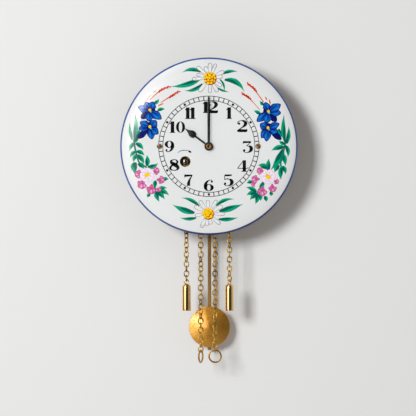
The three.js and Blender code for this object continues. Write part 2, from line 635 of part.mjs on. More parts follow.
function addGoingTrain() {
  const centreFront = HOUR_HAND_DEPTH + HAND_SHEET;
  const centreArbor = pinionArbor(
    arborProfile(centreFront, CENTRE_ARBOR_FRONT_RADIUS), CENTRE_PINION_LEAVES, GREAT_MODULE,
    GREAT_MESH.pinion, GREAT_WHEEL_RISE, GREAT_WHEEL_SHEET);
  addPiece('centre_arbor', centreArbor, 'steel');
  const centreWheel = trainWheel(
    CENTRE_WHEEL_TEETH, CENTRE_WHEEL_MODULE, CENTRE_MESH.wheel, CENTRE_WHEEL_RISE);
  addPiece('centre_wheel', centreWheel, 'brass');

  const thirdArbor = pinionArbor(
    arborProfile(FRONT_FACE), THIRD_PINION_LEAVES, CENTRE_WHEEL_MODULE,
    CENTRE_MESH.pinion, CENTRE_WHEEL_RISE, WHEEL_SHEET);
  addPiece('third_arbor', thirdArbor, 'steel', ...THIRD);
  const thirdWheel = trainWheel(THIRD_WHEEL_TEETH, THIRD_WHEEL_MODULE, THIRD_MESH.wheel, THIRD_WHEEL_RISE);
  addPiece('third_wheel', thirdWheel, 'brass', ...THIRD);

  const escapeArbor = pinionArbor(
    arborProfile(FRONT_FACE), ESCAPE_PINION_LEAVES, THIRD_WHEEL_MODULE,
    THIRD_MESH.pinion, THIRD_WHEEL_RISE, WHEEL_SHEET);
  addPiece('escape_arbor', escapeArbor, 'steel', ...ESCAPE);
  addPiece('escape_wheel', escapeWheel(), 'brass', ...ESCAPE);
}

// Spring barrel, mainspring, winding arbor, ratchet and click
function addWindingWork() {
  const wheelDepth = BACK_PLATE_FACE + GREAT_WHEEL_RISE;
  const drumDepth = wheelDepth + GREAT_WHEEL_SHEET;
  const arborHole = WINDING_ARBOR_RADIUS + FIT;
  const greatWheel = toothedOutline(BARREL_TEETH, GREAT_MODULE, GREAT_MESH.wheel, false);
  greatWheel.holes.push(circle(0, 0, arborHole, ROUND));
  const drum = tube(DRUM_RADIUS, DRUM_RADIUS - DRUM_WALL, drumDepth - RUNNING_GAP, DRUM_HEIGHT + RUNNING_GAP);
  const barrel = fuse(extruded(greatWheel, wheelDepth, GREAT_WHEEL_SHEET), drum);
  addPiece('spring_barrel', barrel, 'brass', ...BARREL);
  const capDepth = drumDepth + DRUM_HEIGHT;
  addPiece('barrel_cap', tube(DRUM_RADIUS, arborHole, capDepth, BARREL_CAP_SHEET), 'brass', ...BARREL);
  const springDepth = drumDepth + RUNNING_GAP;
  const spring = extruded(springOutline(), springDepth, capDepth - RUNNING_GAP - springDepth);
  addPiece('mainspring', spring, 'bluedSteel', ...BARREL);

  const squareStart = FRONT_FACE + FIT;
  const arborEnd = DIAL_BACK - WINDING_END_SETBACK;
  const arbor = turned([
    [0, BACK_PLATE_DEPTH], [WINDING_ARBOR_RADIUS, BACK_PLATE_DEPTH],
    [WINDING_ARBOR_RADIUS, drumDepth + FIT], [WINDING_HUB_RADIUS, drumDepth + FIT],
    [WINDING_HUB_RADIUS, capDepth - FIT], [WINDING_ARBOR_RADIUS, capDepth - FIT],
    [WINDING_ARBOR_RADIUS, squareStart], [0, squareStart],
  ], SMALL_ROUND);
  const half = WINDING_SQUARE / 2;
  const square = block(-half, half, squareStart - FIT / 2, arborEnd, -half, half);
  addPiece('winding_arbor', fuse(arbor, square), 'steel', ...BARREL);

  const ratchetDepth = squareStart + FIT;
  addPiece('ratchet_wheel', extruded(ratchetOutline(), ratchetDepth, RATCHET_SHEET), 'brass', ...BARREL);
  const click = extruded(clickOutline(), ratchetDepth, RATCHET_SHEET);
  addPiece('click', click, 'steel', ...CLICK_STUD);
  addPiece('click_spring', clickSpring(ratchetDepth), 'brass', ...CLICK_STUD);
}

function springOutline() {
  const steps = SPRING_TURNS * SPRING_STEPS_PER_TURN;
  const inner = WINDING_HUB_RADIUS + FIT;
  const outer = DRUM_RADIUS - DRUM_WALL - RUNNING_GAP - SPRING_THICKNESS;
  const inside = [];
  const outside = [];
  for (let i = 0; i <= steps; i += 1) {
    const angle = (i * FULL_TURN) / SPRING_STEPS_PER_TURN;
    const radius = inner + ((outer - inner) * i) / steps;
    inside.push(polar(radius, angle));
    outside.push(polar(radius + SPRING_THICKNESS, angle));
  }
  return outline([...inside, ...outside.reverse()]);
}

function ratchetOutline() {
  const points = [];
  const pitch = FULL_TURN / RATCHET_TEETH;
  for (let k = 0; k < RATCHET_TEETH; k += 1) {
    const angle = CLICK_TIP_ANGLE + k * pitch;
    points.push(polar(RATCHET_RADIUS, angle), polar(RATCHET_RADIUS - RATCHET_TOOTH_DEPTH, angle));
  }
  const shape = outline(points);
  const half = WINDING_SQUARE / 2 + FIT;
  shape.holes.push(outline([[-half, -half], [half, -half], [half, half], [-half, half]], THREE.Path));
  return shape;
}

// The click, drawn about its stud: a boss and a tapered beak that reaches to the ratchet
function clickOutline() {
  const toTip = CLICK_STUD_ANGLE + Math.PI;
  const [tipX, tipZ] = polar(CLICK_LENGTH, toTip);
  const [outX, outZ] = polar(CLICK_BEAK, CLICK_TIP_ANGLE);
  const shape = new THREE.Shape();
  shape.absarc(0, 0, CLICK_BOSS_RADIUS, CLICK_TIP_ANGLE, CLICK_TIP_ANGLE + Math.PI);
  shape.lineTo(tipX, tipZ);
  shape.lineTo(tipX + outX, tipZ + outZ);
  shape.holes.push(circle(0, 0, CLICK_STUD_RADIUS + FIT, SMALL_ROUND));
  return shape;
}

// The click spring: a strip that lies along the back of the click, held by its own foot on the plate
function clickSpring(depth) {
  const along = CLICK_STUD_ANGLE + Math.PI;
  const lift = CLICK_BOSS_RADIUS + FIT;
  const start = -CLICK_SPRING_TAIL;
  const end = CLICK_SPRING_REACH;
  const foot = CLICK_SPRING_FOOT;
  const corner = (distance, height) => {
    const [alongX, alongZ] = polar(distance, along);
    const [outX, outZ] = polar(height, along + Math.PI / 2);
    return [alongX + outX, alongZ + outZ];
  };
  const strip = outline([
    corner(start, lift), corner(end, lift), corner(end, lift + CLICK_SPRING_THICKNESS),
    corner(start, lift + CLICK_SPRING_THICKNESS),
  ]);
  const pad = outline([
    corner(start, lift), corner(start + foot, lift),
    corner(start + foot, lift + foot), corner(start, lift + foot),
  ]);
  return fuse(extruded(strip, depth, RATCHET_SHEET), extruded(pad, FRONT_FACE, RATCHET_SHEET));
}

// Anchor, pallet arbor and pendulum leader
function addEscapement() {
  const bossBack = PENDULUM_DEPTH - LEADER_BOSS_WIDTH / 2;
  const arbor = turned([
    [0, bossBack], [ARBOR_RADIUS, bossBack],
    [ARBOR_RADIUS, FRONT_PLATE_DEPTH - FIT], [PIVOT_RADIUS, FRONT_PLATE_DEPTH - FIT],
    [PIVOT_RADIUS, FRONT_FACE], [0, FRONT_FACE],
  ], SMALL_ROUND);
  addPiece('pallet_arbor', arbor, 'steel', ...PALLET);

  const tipRadius = ESCAPE_RADIUS + PALLET_CLEARANCE;
  const drop = PALLET_HEIGHT - ESCAPE[1];
  const tip = [tipRadius * Math.sin(PALLET_HALF_ANGLE), tipRadius * Math.cos(PALLET_HALF_ANGLE) - drop];
  const arm = ANCHOR_ARM;
  const waist = ANCHOR_WAIST;
  const half = [
    [tip[0] - arm / 2, tip[1] + arm / 2], [tip[0], tip[1]], [tip[0] + arm, tip[1] + arm / 2],
    [tip[0] + arm / 2, tip[1] + 2 * arm], [2 * arm, waist], [arm, 2 * arm],
  ];
  const mirrored = half.map(([x, z]) => [-x, z]).reverse();
  const anchor = outline([[arm / 2, -waist], ...half, ...mirrored, [-arm / 2, -waist]]);
  anchor.holes.push(circle(0, 0, ARBOR_RADIUS + FIT));
  const anchorDepth = BACK_PLATE_FACE + ESCAPE_WHEEL_RISE - ESCAPE_SHEET / 2;
  addPiece('pallet_anchor', extruded(anchor, anchorDepth, 2 * ESCAPE_SHEET), 'steel', ...PALLET);

  const boss = tube(LEADER_BOSS_RADIUS, ARBOR_RADIUS + FIT, bossBack, LEADER_BOSS_WIDTH, SMALL_ROUND);
  const wireTop = -ARBOR_RADIUS - 2 * FIT;
  const wireLength = wireTop + LEADER_LENGTH - EYE_RADIUS;
  const wire = new THREE.CylinderGeometry(LEADER_WIRE_RADIUS, LEADER_WIRE_RADIUS, wireLength, SMALL_ROUND);
  wire.rotateX(Math.PI / 2).translate(0, -PENDULUM_DEPTH, wireTop - wireLength / 2);
  const eye = wireRing(EYE_RADIUS, EYE_WIRE_RADIUS, MEDIUM_ROUND, WIRE_SIDES);
  eye.translate(0, -PENDULUM_DEPTH, -LEADER_LENGTH);
  addPiece('pendulum_leader', fuse(boss, wire, eye), 'steel', ...PALLET);
}

// Motion work behind the dial
function minuteWheelTop() {
  return FRONT_FACE + 2 * RUNNING_GAP + 3 * MOTION_SHEET;
}

function addMotionWork() {
  const lower = FRONT_FACE + RUNNING_GAP;
  const upper = lower + 2 * MOTION_SHEET;
  const cannonEnd = MINUTE_HAND_DEPTH + HAND_SHEET + HAND_NUT_HEIGHT / 2;
  const bore = CENTRE_ARBOR_FRONT_RADIUS + FIT;
  const cannonTeeth = toothedOutline(CANNON_TEETH, CANNON_MODULE, CANNON_MESH.pinion, true);
  cannonTeeth.holes.push(circle(0, 0, bore, SMALL_ROUND));
  const cannonTube = tube(CANNON_RADIUS, bore, lower, cannonEnd - lower, SMALL_ROUND);
  addPiece('cannon_pinion', fuse(extruded(cannonTeeth, lower, CANNON_LEAF_HEIGHT), cannonTube), 'steel');

  const minuteBore = MINUTE_POST_RADIUS + FIT;
  const minuteWheel = toothedOutline(MINUTE_WHEEL_TEETH, CANNON_MODULE, CANNON_MESH.wheel, false);
  minuteWheel.holes.push(circle(0, 0, minuteBore, SMALL_ROUND));
  const minutePinion = toothedOutline(MINUTE_PINION_LEAVES, HOUR_MODULE, HOUR_MESH.pinion, true);
  minutePinion.holes.push(circle(0, 0, minuteBore, SMALL_ROUND));
  const minute = fuse(
    extruded(minuteWheel, lower, MOTION_SHEET),
    extruded(minutePinion, lower + MOTION_SHEET / 2, minuteWheelTop() - lower - MOTION_SHEET / 2));
  addPiece('minute_wheel', minute, 'brass', ...MINUTE_POST);

  const pipeInner = CANNON_RADIUS + FIT;
  const hourWheel = toothedOutline(HOUR_WHEEL_TEETH, HOUR_MODULE, HOUR_MESH.wheel, false);
  hourWheel.holes.push(circle(0, 0, pipeInner, SMALL_ROUND));
  const pipeEnd = HOUR_HAND_DEPTH + HAND_SHEET;
  const pipe = tube(pipeInner + HOUR_PIPE_WALL, pipeInner, upper, pipeEnd - upper, SMALL_ROUND);
  addPiece('hour_wheel', fuse(extruded(hourWheel, upper, MOTION_SHEET), pipe), 'brass');
}

// Dial with its posts and screws
function dialProfile() {
  const face = (sink) => {
    const points = [[DIAL_FLAT_RADIUS, DIAL_FRONT - sink]];
    for (let i = 1; i < DIAL_DOME_STEPS; i += 1) {
      const share = i / DIAL_DOME_STEPS;
      const depth = DIAL_FRONT - sink - share ** DIAL_DOME_POWER * DIAL_CROWN;
      points.push([DIAL_FLAT_RADIUS + share * DIAL_DOME_WIDTH, depth]);
    }
    for (let i = 0; i <= DIAL_ROLL_STEPS; i += 1) {
      const angle = DIAL_EDGE_SLOPE + ((Math.PI / 2 - DIAL_EDGE_SLOPE) * i) / DIAL_ROLL_STEPS;
      const radius = DIAL_ROLL_RADIUS - sink;
      const depth = DIAL_ROLL_DEPTH + radius * Math.cos(angle);
      points.push([DIAL_ROLL_CENTRE + radius * Math.sin(angle), depth]);
    }
    points.push([DIAL_RADIUS - sink, DIAL_ROLL_DEPTH - DIAL_LIP]);
    return points;
  };
  const hole = CANNON_RADIUS + FIT + HOUR_PIPE_WALL + RUNNING_GAP;
  const front = [[hole, DIAL_FRONT], ...face(0)];
  const back = [[hole, DIAL_BACK], ...face(DIAL_SHEET)];
  return [...front, ...back.reverse(), front[0]];
}

function addDial() {
  const dish = turned(dialProfile(), DIAL_SEGMENTS);
  const reach = 4 * DIAL_SHEET;
  const keyHole = rod(KEY_HOLE_RADIUS, DIAL_BACK - DIAL_SHEET, reach, ROUND);
  keyHole.translate(BARREL_X, 0, BARREL_Z);
  const screwHoles = [-1, 1].map((side) =>
    rod(DIAL_SCREW_RADIUS + FIT, DIAL_BACK - DIAL_SHEET, reach).translate(side * DIAL_SCREW_X, 0, 0));
  addPiece('dial_plate', cut(dish, keyHole, ...screwHoles), 'enamel');
  const head = DIAL_FRONT + DIAL_SCREW_HEAD_RISE;
  const sides = [['left', -DIAL_SCREW_X, LEFT_SLOT_TURN], ['right', DIAL_SCREW_X, RIGHT_SLOT_TURN]];
  for (const [side, x, turn] of sides) {
    const bore = DIAL_SCREW_RADIUS + FIT;
    const post = tube(DIAL_POST_RADIUS, bore, FRONT_FACE, DIAL_BACK - FRONT_FACE, SMALL_ROUND);
    addPiece(`dial_post_${side}`, post, 'brass', x);
    const screw = turned([
      [0, DIAL_FRONT - DIAL_SCREW_REACH], [DIAL_SCREW_RADIUS, DIAL_FRONT - DIAL_SCREW_REACH],
      [DIAL_SCREW_RADIUS, DIAL_FRONT], [DIAL_SCREW_HEAD_RADIUS, DIAL_FRONT],
      [DIAL_SCREW_HEAD_RADIUS * SCREW_CROWN_SHARE, DIAL_FRONT + DIAL_SCREW_HEAD_RISE * SCREW_CROWN_SHARE],
      [0, head],
    ], SMALL_ROUND);
    const slotted = slottedHead(screw, head, DIAL_SCREW_HEAD_RADIUS, turn);
    addPiece(`dial_screw_${side}`, slotted, 'polishedBrass', x);
  }
}

// Hands: each is drawn pointing up and fused with its hub
function hand(halfOutline, depth, bore) {
  const shape = halfOutline();
  const hub = disc(HAND_HUB_RADIUS);
  const blade = fuse(extruded(shape, depth, HAND_SHEET), extruded(hub, depth, HAND_SHEET, ROUND / 2));
  return cut(blade, rod(bore, depth - HAND_SHEET, 3 * HAND_SHEET));
}

function hourBlade() {
  const stem = HOUR_STEM_WIDTH / 2;
  const bulge = HOUR_BULGE_WIDTH / 2;
  const neck = HOUR_BULGE_CENTRE + bulge;
  const tip = HAND_TIP_WIDTH / 2;
  const shape = new THREE.Shape();
  shape.moveTo(stem, 0);
  shape.lineTo(stem, HOUR_BULGE_START);
  shape.quadraticCurveTo(bulge, HOUR_BULGE_START, bulge, HOUR_BULGE_CENTRE);
  shape.bezierCurveTo(bulge, neck, stem / 2, neck, tip, HOUR_HAND_LENGTH);
  shape.lineTo(-tip, HOUR_HAND_LENGTH);
  shape.bezierCurveTo(-stem / 2, neck, -bulge, neck, -bulge, HOUR_BULGE_CENTRE);
  shape.quadraticCurveTo(-bulge, HOUR_BULGE_START, -stem, HOUR_BULGE_START);
  shape.lineTo(-stem, 0);
  return shape;
}

function minuteBlade() {
  const [hub, waist, tip] = [MINUTE_HUB_WIDTH / 2, MINUTE_WAIST_WIDTH / 2, MINUTE_TIP_WIDTH / 2];
  return outline([
    [hub, 0], [waist, MINUTE_WAIST_AT], [tip, MINUTE_HAND_LENGTH],
    [-tip, MINUTE_HAND_LENGTH], [-waist, MINUTE_WAIST_AT], [-hub, 0],
  ]);
}

function addHands() {
  const hour = hand(hourBlade, HOUR_HAND_DEPTH, CANNON_RADIUS + HOUR_PIPE_WALL + 2 * FIT);
  addPiece('hour_hand', hour.rotateY(-HOUR_HAND_ANGLE), 'bluedSteel');
  addPiece('minute_hand', hand(minuteBlade, MINUTE_HAND_DEPTH, CANNON_RADIUS + FIT), 'bluedSteel');
  const nutDepth = MINUTE_HAND_DEPTH + HAND_SHEET;
  const nutTop = nutDepth + HAND_NUT_HEIGHT;
  const thread = CANNON_RADIUS + FIT / 2;
  const step = nutDepth + HAND_NUT_HEIGHT / 2 + FIT;
  const nut = turned([
    [thread, nutDepth], [HAND_NUT_RADIUS, nutDepth], [HAND_NUT_RADIUS, nutDepth + HAND_NUT_HEIGHT / 2],
    [HAND_NUT_TOP_RADIUS, nutTop], [HAND_NUT_HOLE, nutTop], [HAND_NUT_HOLE, step], [thread, step],
    [thread, nutDepth],
  ], MEDIUM_ROUND);
  addPiece('hand_nut', nut, 'polishedBrass');
}

// Pendulum: the rod hangs by a wire eye from the leader, and the bob grips the rod with a strap
function addPendulum() {
  const eyeCentre = PALLET_HEIGHT - LEADER_LENGTH - 2 * EYE_RADIUS + 2 * EYE_WIRE_RADIUS + FIT;
  const rodTop = eyeCentre - EYE_RADIUS - 2 * EYE_WIRE_RADIUS;
  const shankLength = EYE_WIRE_RADIUS + EYE_RADIUS + ROD_BORE_DEPTH;
  const eye = wireRing(EYE_RADIUS, EYE_WIRE_RADIUS, MEDIUM_ROUND, WIRE_SIDES).rotateZ(Math.PI / 2);
  const shank = new THREE.CylinderGeometry(EYE_WIRE_RADIUS, EYE_WIRE_RADIUS, shankLength, WIRE_SIDES);
  shank.rotateX(Math.PI / 2).translate(0, 0, -EYE_RADIUS - shankLength / 2 + EYE_WIRE_RADIUS);
  const hook = fuse(eye, shank).translate(0, -PENDULUM_DEPTH, eyeCentre);
  addPiece('pendulum_hook', hook, 'steel');

  const boreEnd = eyeCentre - EYE_RADIUS - shankLength - FIT;
  const rodEnd = BOB_CENTRE - BOB_RADIUS - ROD_TIP;
  const stick = block(
    -ROD_WIDTH / 2, ROD_WIDTH / 2, PENDULUM_DEPTH - ROD_THICKNESS / 2, PENDULUM_DEPTH + ROD_THICKNESS / 2,
    rodEnd, rodTop);
  const boreRadius = EYE_WIRE_RADIUS + FIT;
  const bore = block(
    -boreRadius, boreRadius, PENDULUM_DEPTH - boreRadius, PENDULUM_DEPTH + boreRadius, boreEnd, rodTop + FIT);
  addPiece('pendulum_rod', cut(stick, bore), 'stainedWood');

  const bobBack = PENDULUM_DEPTH + ROD_THICKNESS / 2 + FIT;
  const rim = bobBack + BOB_EDGE;
  const tip = rim + BOB_RISE;
  const profile = [
    [0, bobBack], [BOB_RADIUS, bobBack], [BOB_RADIUS, rim],
    [BOB_TIP_RADIUS, tip - BOB_TIP_FLATNESS], [0, tip],
  ];
  const cone = turned(profile, BOB_SEGMENTS).translate(0, 0, BOB_CENTRE);
  const strapBack = PENDULUM_DEPTH - ROD_THICKNESS / 2 - FIT - BOB_STRAP_SHEET;
  const low = BOB_CENTRE - BOB_STRAP_HEIGHT / 2;
  const high = BOB_CENTRE + BOB_STRAP_HEIGHT / 2;
  const strap = block(-BOB_STRAP_WIDTH / 2, BOB_STRAP_WIDTH / 2, strapBack, rim, low, high);
  const channelHalf = ROD_WIDTH / 2 + FIT;
  const channel = block(
    -channelHalf, channelHalf, strapBack + BOB_STRAP_SHEET, bobBack, low - FIT, high + FIT);
  addPiece('pendulum_bob', fuse(cone, cut(strap, channel)), 'satinBrass');
}

// Chains: a strip with four tongues on the front plate carries four runs of oval links
function hookPlaces() {
  const first = HOOK_ROW_CENTRE - ((HOOK_COUNT - 1) * HOOK_SPACING) / 2;
  return Array.from({ length: HOOK_COUNT }, (_, k) => first + k * HOOK_SPACING);
}

function addHookStrip() {
  const places = hookPlaces();
  const strip = block(
    places[0] - HOOK_STRIP_MARGIN, places.at(-1) + HOOK_STRIP_MARGIN,
    FRONT_FACE, FRONT_FACE + HOOK_STRIP_SHEET,
    HOOK_HEIGHT - HOOK_THICKNESS / 2 - HOOK_STRIP_FOOT, HOOK_STRIP_TOP);
  const reach = CHAIN_DEPTH + LINK_WIRE / 2 + 2 * FIT + HOOK_THICKNESS;
  const tongues = places.flatMap((x) => {
    const [left, right] = [x - HOOK_WIDTH / 2, x + HOOK_WIDTH / 2];
    const top = HOOK_HEIGHT + HOOK_THICKNESS / 2;
    const bottom = HOOK_HEIGHT - HOOK_THICKNESS / 2;
    const arm = block(left, right, FRONT_FACE + HOOK_STRIP_SHEET / 2, reach, bottom, top);
    const tip = block(left, right, reach - HOOK_THICKNESS, reach, bottom, top + HOOK_TIP_RISE);
    return [arm, tip];
  });
  addPiece('chain_hook_strip', fuse(strip, ...tongues), 'steel');
}

// One link, drawn upright in x and z about its middle, with its inner edge turned to its neighbours
function link() {
  const halfLength = (LINK_LENGTH - LINK_WIRE) / 2;
  const halfWidth = (LINK_WIDTH - LINK_WIRE) / 2;
  const widen = 1 / Math.cos(Math.PI / LINK_STEPS);
  const positions = [];
  const index = [];
  for (let i = 0; i < LINK_STEPS; i += 1) {
    const along = Math.PI / 2 + (i * FULL_TURN) / LINK_STEPS;
    for (let k = 0; k < LINK_SIDES; k += 1) {
      const around = Math.PI + (k * FULL_TURN) / LINK_SIDES;
      const out = (LINK_WIRE / 2) * Math.cos(around);
      const aside = (LINK_WIRE / 2) * Math.sin(around);
      const across = (halfWidth + out) * widen * Math.cos(along);
      positions.push(across, aside, (halfLength + out) * Math.sin(along));
      const next = ((i + 1) % LINK_STEPS) * LINK_SIDES;
      const beside = (k + 1) % LINK_SIDES;
      const corner = i * LINK_SIDES;
      index.push(corner + k, next + k, next + beside, corner + k, next + beside, corner + beside);
    }
  }
  const geometry = new THREE.BufferGeometry();
  geometry.setAttribute('position', new THREE.Float32BufferAttribute(positions, 3));
  return geometry.setIndex(index);
}

function twistAt(stops, share) {
  const place = share * (stops.length - 1);
  const before = Math.min(Math.floor(place), stops.length - 2);
  return THREE.MathUtils.lerp(stops[before], stops[before + 1], place - before);
}

// A hanging run of links, each a quarter turn from the last, with a slow twist along the run
function chainRun(count, twist) {
  const links = [];
  for (let i = 0; i < count; i += 1) {
    const turn = (i * Math.PI) / 2 + twistAt(twist, i / (count - 1));
    links.push(link().rotateZ(turn).translate(0, 0, FIRST_LINK - i * LINK_PITCH));
  }
  return fuse(...links);
}

// The height of a wire that hangs in the last of a number of links
function wireInLastLink(count, wireRadius) {
  const lastLink = FIRST_LINK - (count - 1) * LINK_PITCH;
  return lastLink - LINK_LENGTH / 2 + LINK_WIRE + wireRadius + FIT;
}

function chainWeight(twist) {
  const eyeTop = wireInLastLink(WEIGHT_LINKS, EYE_WIRE_RADIUS);
  const top = eyeTop - 2 * WEIGHT_EYE_RADIUS;
  const bottom = top - WEIGHT_LENGTH;
  const profile = [
    [0, bottom], [WEIGHT_RADIUS - WEIGHT_CHAMFER, bottom], [WEIGHT_RADIUS, bottom + WEIGHT_CHAMFER],
  ];
  for (let i = 0; i <= SHOULDER_STEPS; i += 1) {
    const angle = (i * Math.PI) / 2 / SHOULDER_STEPS;
    profile.push([
      WEIGHT_RADIUS - WEIGHT_SHOULDER * (1 - Math.cos(angle)),
      top - WEIGHT_SHOULDER * (1 - Math.sin(angle)),
    ]);
  }
  profile.push([0, top]);
  const eye = wireRing(WEIGHT_EYE_RADIUS, EYE_WIRE_RADIUS, SMALL_ROUND, WIRE_SIDES);
  eye.rotateZ(Math.PI / 2 + twist).translate(0, 0, top + WEIGHT_EYE_RADIUS);
  return fuse(turnedUpright(profile), eye);
}

// A split wire ring
function pullRing(twist) {
  const centre = wireInLastLink(RING_LINKS, RING_WIRE_RADIUS) - RING_RADIUS;
  const ring = wireRing(RING_RADIUS, RING_WIRE_RADIUS, ROUND, FINE_ROUND);
  const saw = block(
    RING_RADIUS - 2 * RING_WIRE_RADIUS, RING_RADIUS + 2 * RING_WIRE_RADIUS,
    -2 * RING_WIRE_RADIUS, 2 * RING_WIRE_RADIUS, -RING_GAP / 2, RING_GAP / 2);
  return cut(ring, saw.rotateY(-RING_GAP_ANGLE)).rotateZ(twist).translate(0, 0, centre);
}

function addChains() {
  addHookStrip();
  const [leftWeight, leftRing, rightRing, rightWeight] = hookPlaces();
  const hang = (name, geometry, finish, x) =>
    addPiece(name, geometry.translate(0, -CHAIN_DEPTH, 0), finish, x);
  const weights = [['left', leftWeight, LEFT_WEIGHT_TWIST], ['right', rightWeight, RIGHT_WEIGHT_TWIST]];
  for (const [side, x, twist] of weights) {
    hang(`weight_chain_${side}`, chainRun(WEIGHT_LINKS, twist), 'brass', x);
    hang(`weight_${side}`, chainWeight(twist.at(-1)), 'polishedBrass', x);
  }
  const rings = [['left', leftRing, LEFT_RING_TWIST], ['right', rightRing, RIGHT_RING_TWIST]];
  for (const [side, x, twist] of rings) {
    hang(`ring_chain_${side}`, chainRun(RING_LINKS, twist), 'brass', x);
    hang(`pull_ring_${side}`, pullRing(twist.at(-1)), 'polishedBrass', x);
  }
}

addCase();
addMovementFrame();
addGoingTrain();
addWindingWork();
addEscapement();
addMotionWork();
addDial();
addHands();
addPendulum();
addChains();

export default clock;
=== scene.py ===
import json
import math

import bmesh
import bpy
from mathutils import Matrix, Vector

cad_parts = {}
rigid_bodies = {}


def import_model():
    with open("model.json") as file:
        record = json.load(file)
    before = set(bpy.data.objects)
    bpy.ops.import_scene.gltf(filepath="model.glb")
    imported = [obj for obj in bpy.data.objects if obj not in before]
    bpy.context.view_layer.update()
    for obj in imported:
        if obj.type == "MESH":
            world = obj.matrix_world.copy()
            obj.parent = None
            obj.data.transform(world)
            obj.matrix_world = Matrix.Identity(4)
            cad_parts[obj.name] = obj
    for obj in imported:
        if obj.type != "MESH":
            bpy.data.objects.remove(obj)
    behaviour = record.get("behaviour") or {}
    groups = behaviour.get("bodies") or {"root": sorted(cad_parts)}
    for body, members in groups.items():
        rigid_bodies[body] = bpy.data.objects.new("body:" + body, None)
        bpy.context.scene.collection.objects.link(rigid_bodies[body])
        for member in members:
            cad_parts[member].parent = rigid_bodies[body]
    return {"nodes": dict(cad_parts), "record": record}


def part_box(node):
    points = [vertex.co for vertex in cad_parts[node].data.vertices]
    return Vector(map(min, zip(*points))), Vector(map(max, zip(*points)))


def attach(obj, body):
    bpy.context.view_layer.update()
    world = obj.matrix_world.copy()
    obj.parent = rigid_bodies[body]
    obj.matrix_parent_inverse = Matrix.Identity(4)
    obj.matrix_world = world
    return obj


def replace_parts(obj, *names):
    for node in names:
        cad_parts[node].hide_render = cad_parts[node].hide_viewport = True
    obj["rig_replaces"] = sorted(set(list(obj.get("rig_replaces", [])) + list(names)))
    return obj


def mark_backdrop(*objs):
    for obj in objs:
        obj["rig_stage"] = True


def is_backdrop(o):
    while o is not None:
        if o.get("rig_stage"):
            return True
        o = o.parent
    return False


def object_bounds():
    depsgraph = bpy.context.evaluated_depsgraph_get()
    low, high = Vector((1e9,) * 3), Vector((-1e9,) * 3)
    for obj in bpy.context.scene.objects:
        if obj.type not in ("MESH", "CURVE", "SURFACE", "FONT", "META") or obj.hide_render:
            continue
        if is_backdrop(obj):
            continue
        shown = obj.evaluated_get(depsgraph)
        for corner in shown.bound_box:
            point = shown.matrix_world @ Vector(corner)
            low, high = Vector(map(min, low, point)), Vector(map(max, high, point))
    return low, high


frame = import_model()
cad_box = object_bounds()

MM = 0.001
TURN = 2 * math.pi
QUARTER = math.pi / 2
WELD = MM / 1000

# Measures are in millimetres, and depths go from the wall towards the front

# Dial
DIAL_RADIUS = 75.0
FLAT_RADIUS = 46.982
SHEET = 1.2
ROLL_RADIUS = 4.0
ROLL_CENTRE = DIAL_RADIUS - ROLL_RADIUS
ROLL_DEPTH = 41.2
EDGE_SLOPE = 0.38
DOME_POWER = 4
LIP_DEPTH = 40.2
LIP_ROUND = 0.3
DOME_WIDTH = ROLL_CENTRE + ROLL_RADIUS * math.sin(EDGE_SLOPE) - FLAT_RADIUS
CROWN = DOME_WIDTH * math.tan(EDGE_SLOPE) / DOME_POWER
DIAL_FRONT = ROLL_DEPTH + ROLL_RADIUS * math.cos(EDGE_SLOPE) + CROWN
CENTRE_HOLE = 3.3
KEY_HOLE = (-19.9, -12.8, 4.5)
SCREW_HOLE = 1.3
RIM_PAINT = (73.35, 73.6)
RIM_SWAY = 0.5
# Painted shade: how much wider the blue band grows towards the lower right
RIM_SHADE_WIDENING = 0.35
DOME_STEPS = 16
ROLL_STEPS = 12
DIAL_STEPS = 192

# Dial print
PAINT = 0.04
PAINT_LIFT = 0.02
PAINT_LAYER = 0.01
THINNEST = 0.02
TRACK_INNER = 38.7
TRACK_OUTER = 42.2
TRACK_LINE = 0.56
TICK_LINE = 0.72
HOUR_DOT = 1.05
NUMERAL_CIRCLE = 32.9
TEN_CIRCLE = 31.2
NUMERAL_HEIGHT = 9.5
ARROW_LINE = [
    (-26.0, -5.3, 0.2), (-24.0, -4.0, 0.26), (-21.2, -3.3, 0.26), (-18.6, -3.4, 0.24), (-16.2, -4.2, 0.24)]
ARROW_HEAD = [(-17.0, -3.9, 0.45), (-15.9, -4.5, 0.85), (-14.6, -5.3, 0.06)]

# Hands: half outlines of x and z, and the nut's radii with their rise over the minute hand
HUB_RADIUS = 3.7
HUB_STEPS = 40
HAND_SHEET = 0.7
HAND_EDGE = 0.14
HOUR_DEPTH = DIAL_FRONT + 1.3
MINUTE_DEPTH = HOUR_DEPTH + 2.0
HOUR_TURN = 0.93
HOUR_BORE = 3.1
MINUTE_BORE = 2.1
HOUR_STALK = [(0.8, 0.0), (0.8, 14.0)]
HOUR_CURVES = [
    ((0.8, 14.0), (2.0, 14.0), (2.95, 15.1), (2.95, 17.3), 10),
    ((2.95, 17.3), (2.95, 20.1), (0.4, 20.1), (0.15, 26.2), 14)]
MINUTE_HALF = [(1.05, 0.0), (1.25, 34.0), (0.55, 42.0)]
NUT_PROFILE = [
    (1.95, 0.0), (2.2, 0.0), (2.3, 0.1), (2.3, 0.7), (2.22, 0.86), (1.85, 1.38), (1.7, 1.48), (1.2, 1.5),
    (1.04, 1.42), (1.0, 1.3), (1.0, 1.05), (1.95, 1.05), (1.95, 0.0)]

# Dial screws: the foot's radii with their rise over the dial
DIAL_SCREW_X = 41.482
SCREW_HEAD = 2.3
SCREW_RIM = 0.25
SCREW_DOME = 0.85
SCREW_TOP = SCREW_RIM + SCREW_DOME
SCREW_FOOT = [(2.3, 0.2), (2.25, 0.0), (1.0, 0.0), (1.0, -7.0), (0.0, -7.0)]
SLOT_LENGTH = 6.0
SLOT_WIDTH = 0.7
SLOT_CUT = 1.2
SLOT_FLOOR = 0.4

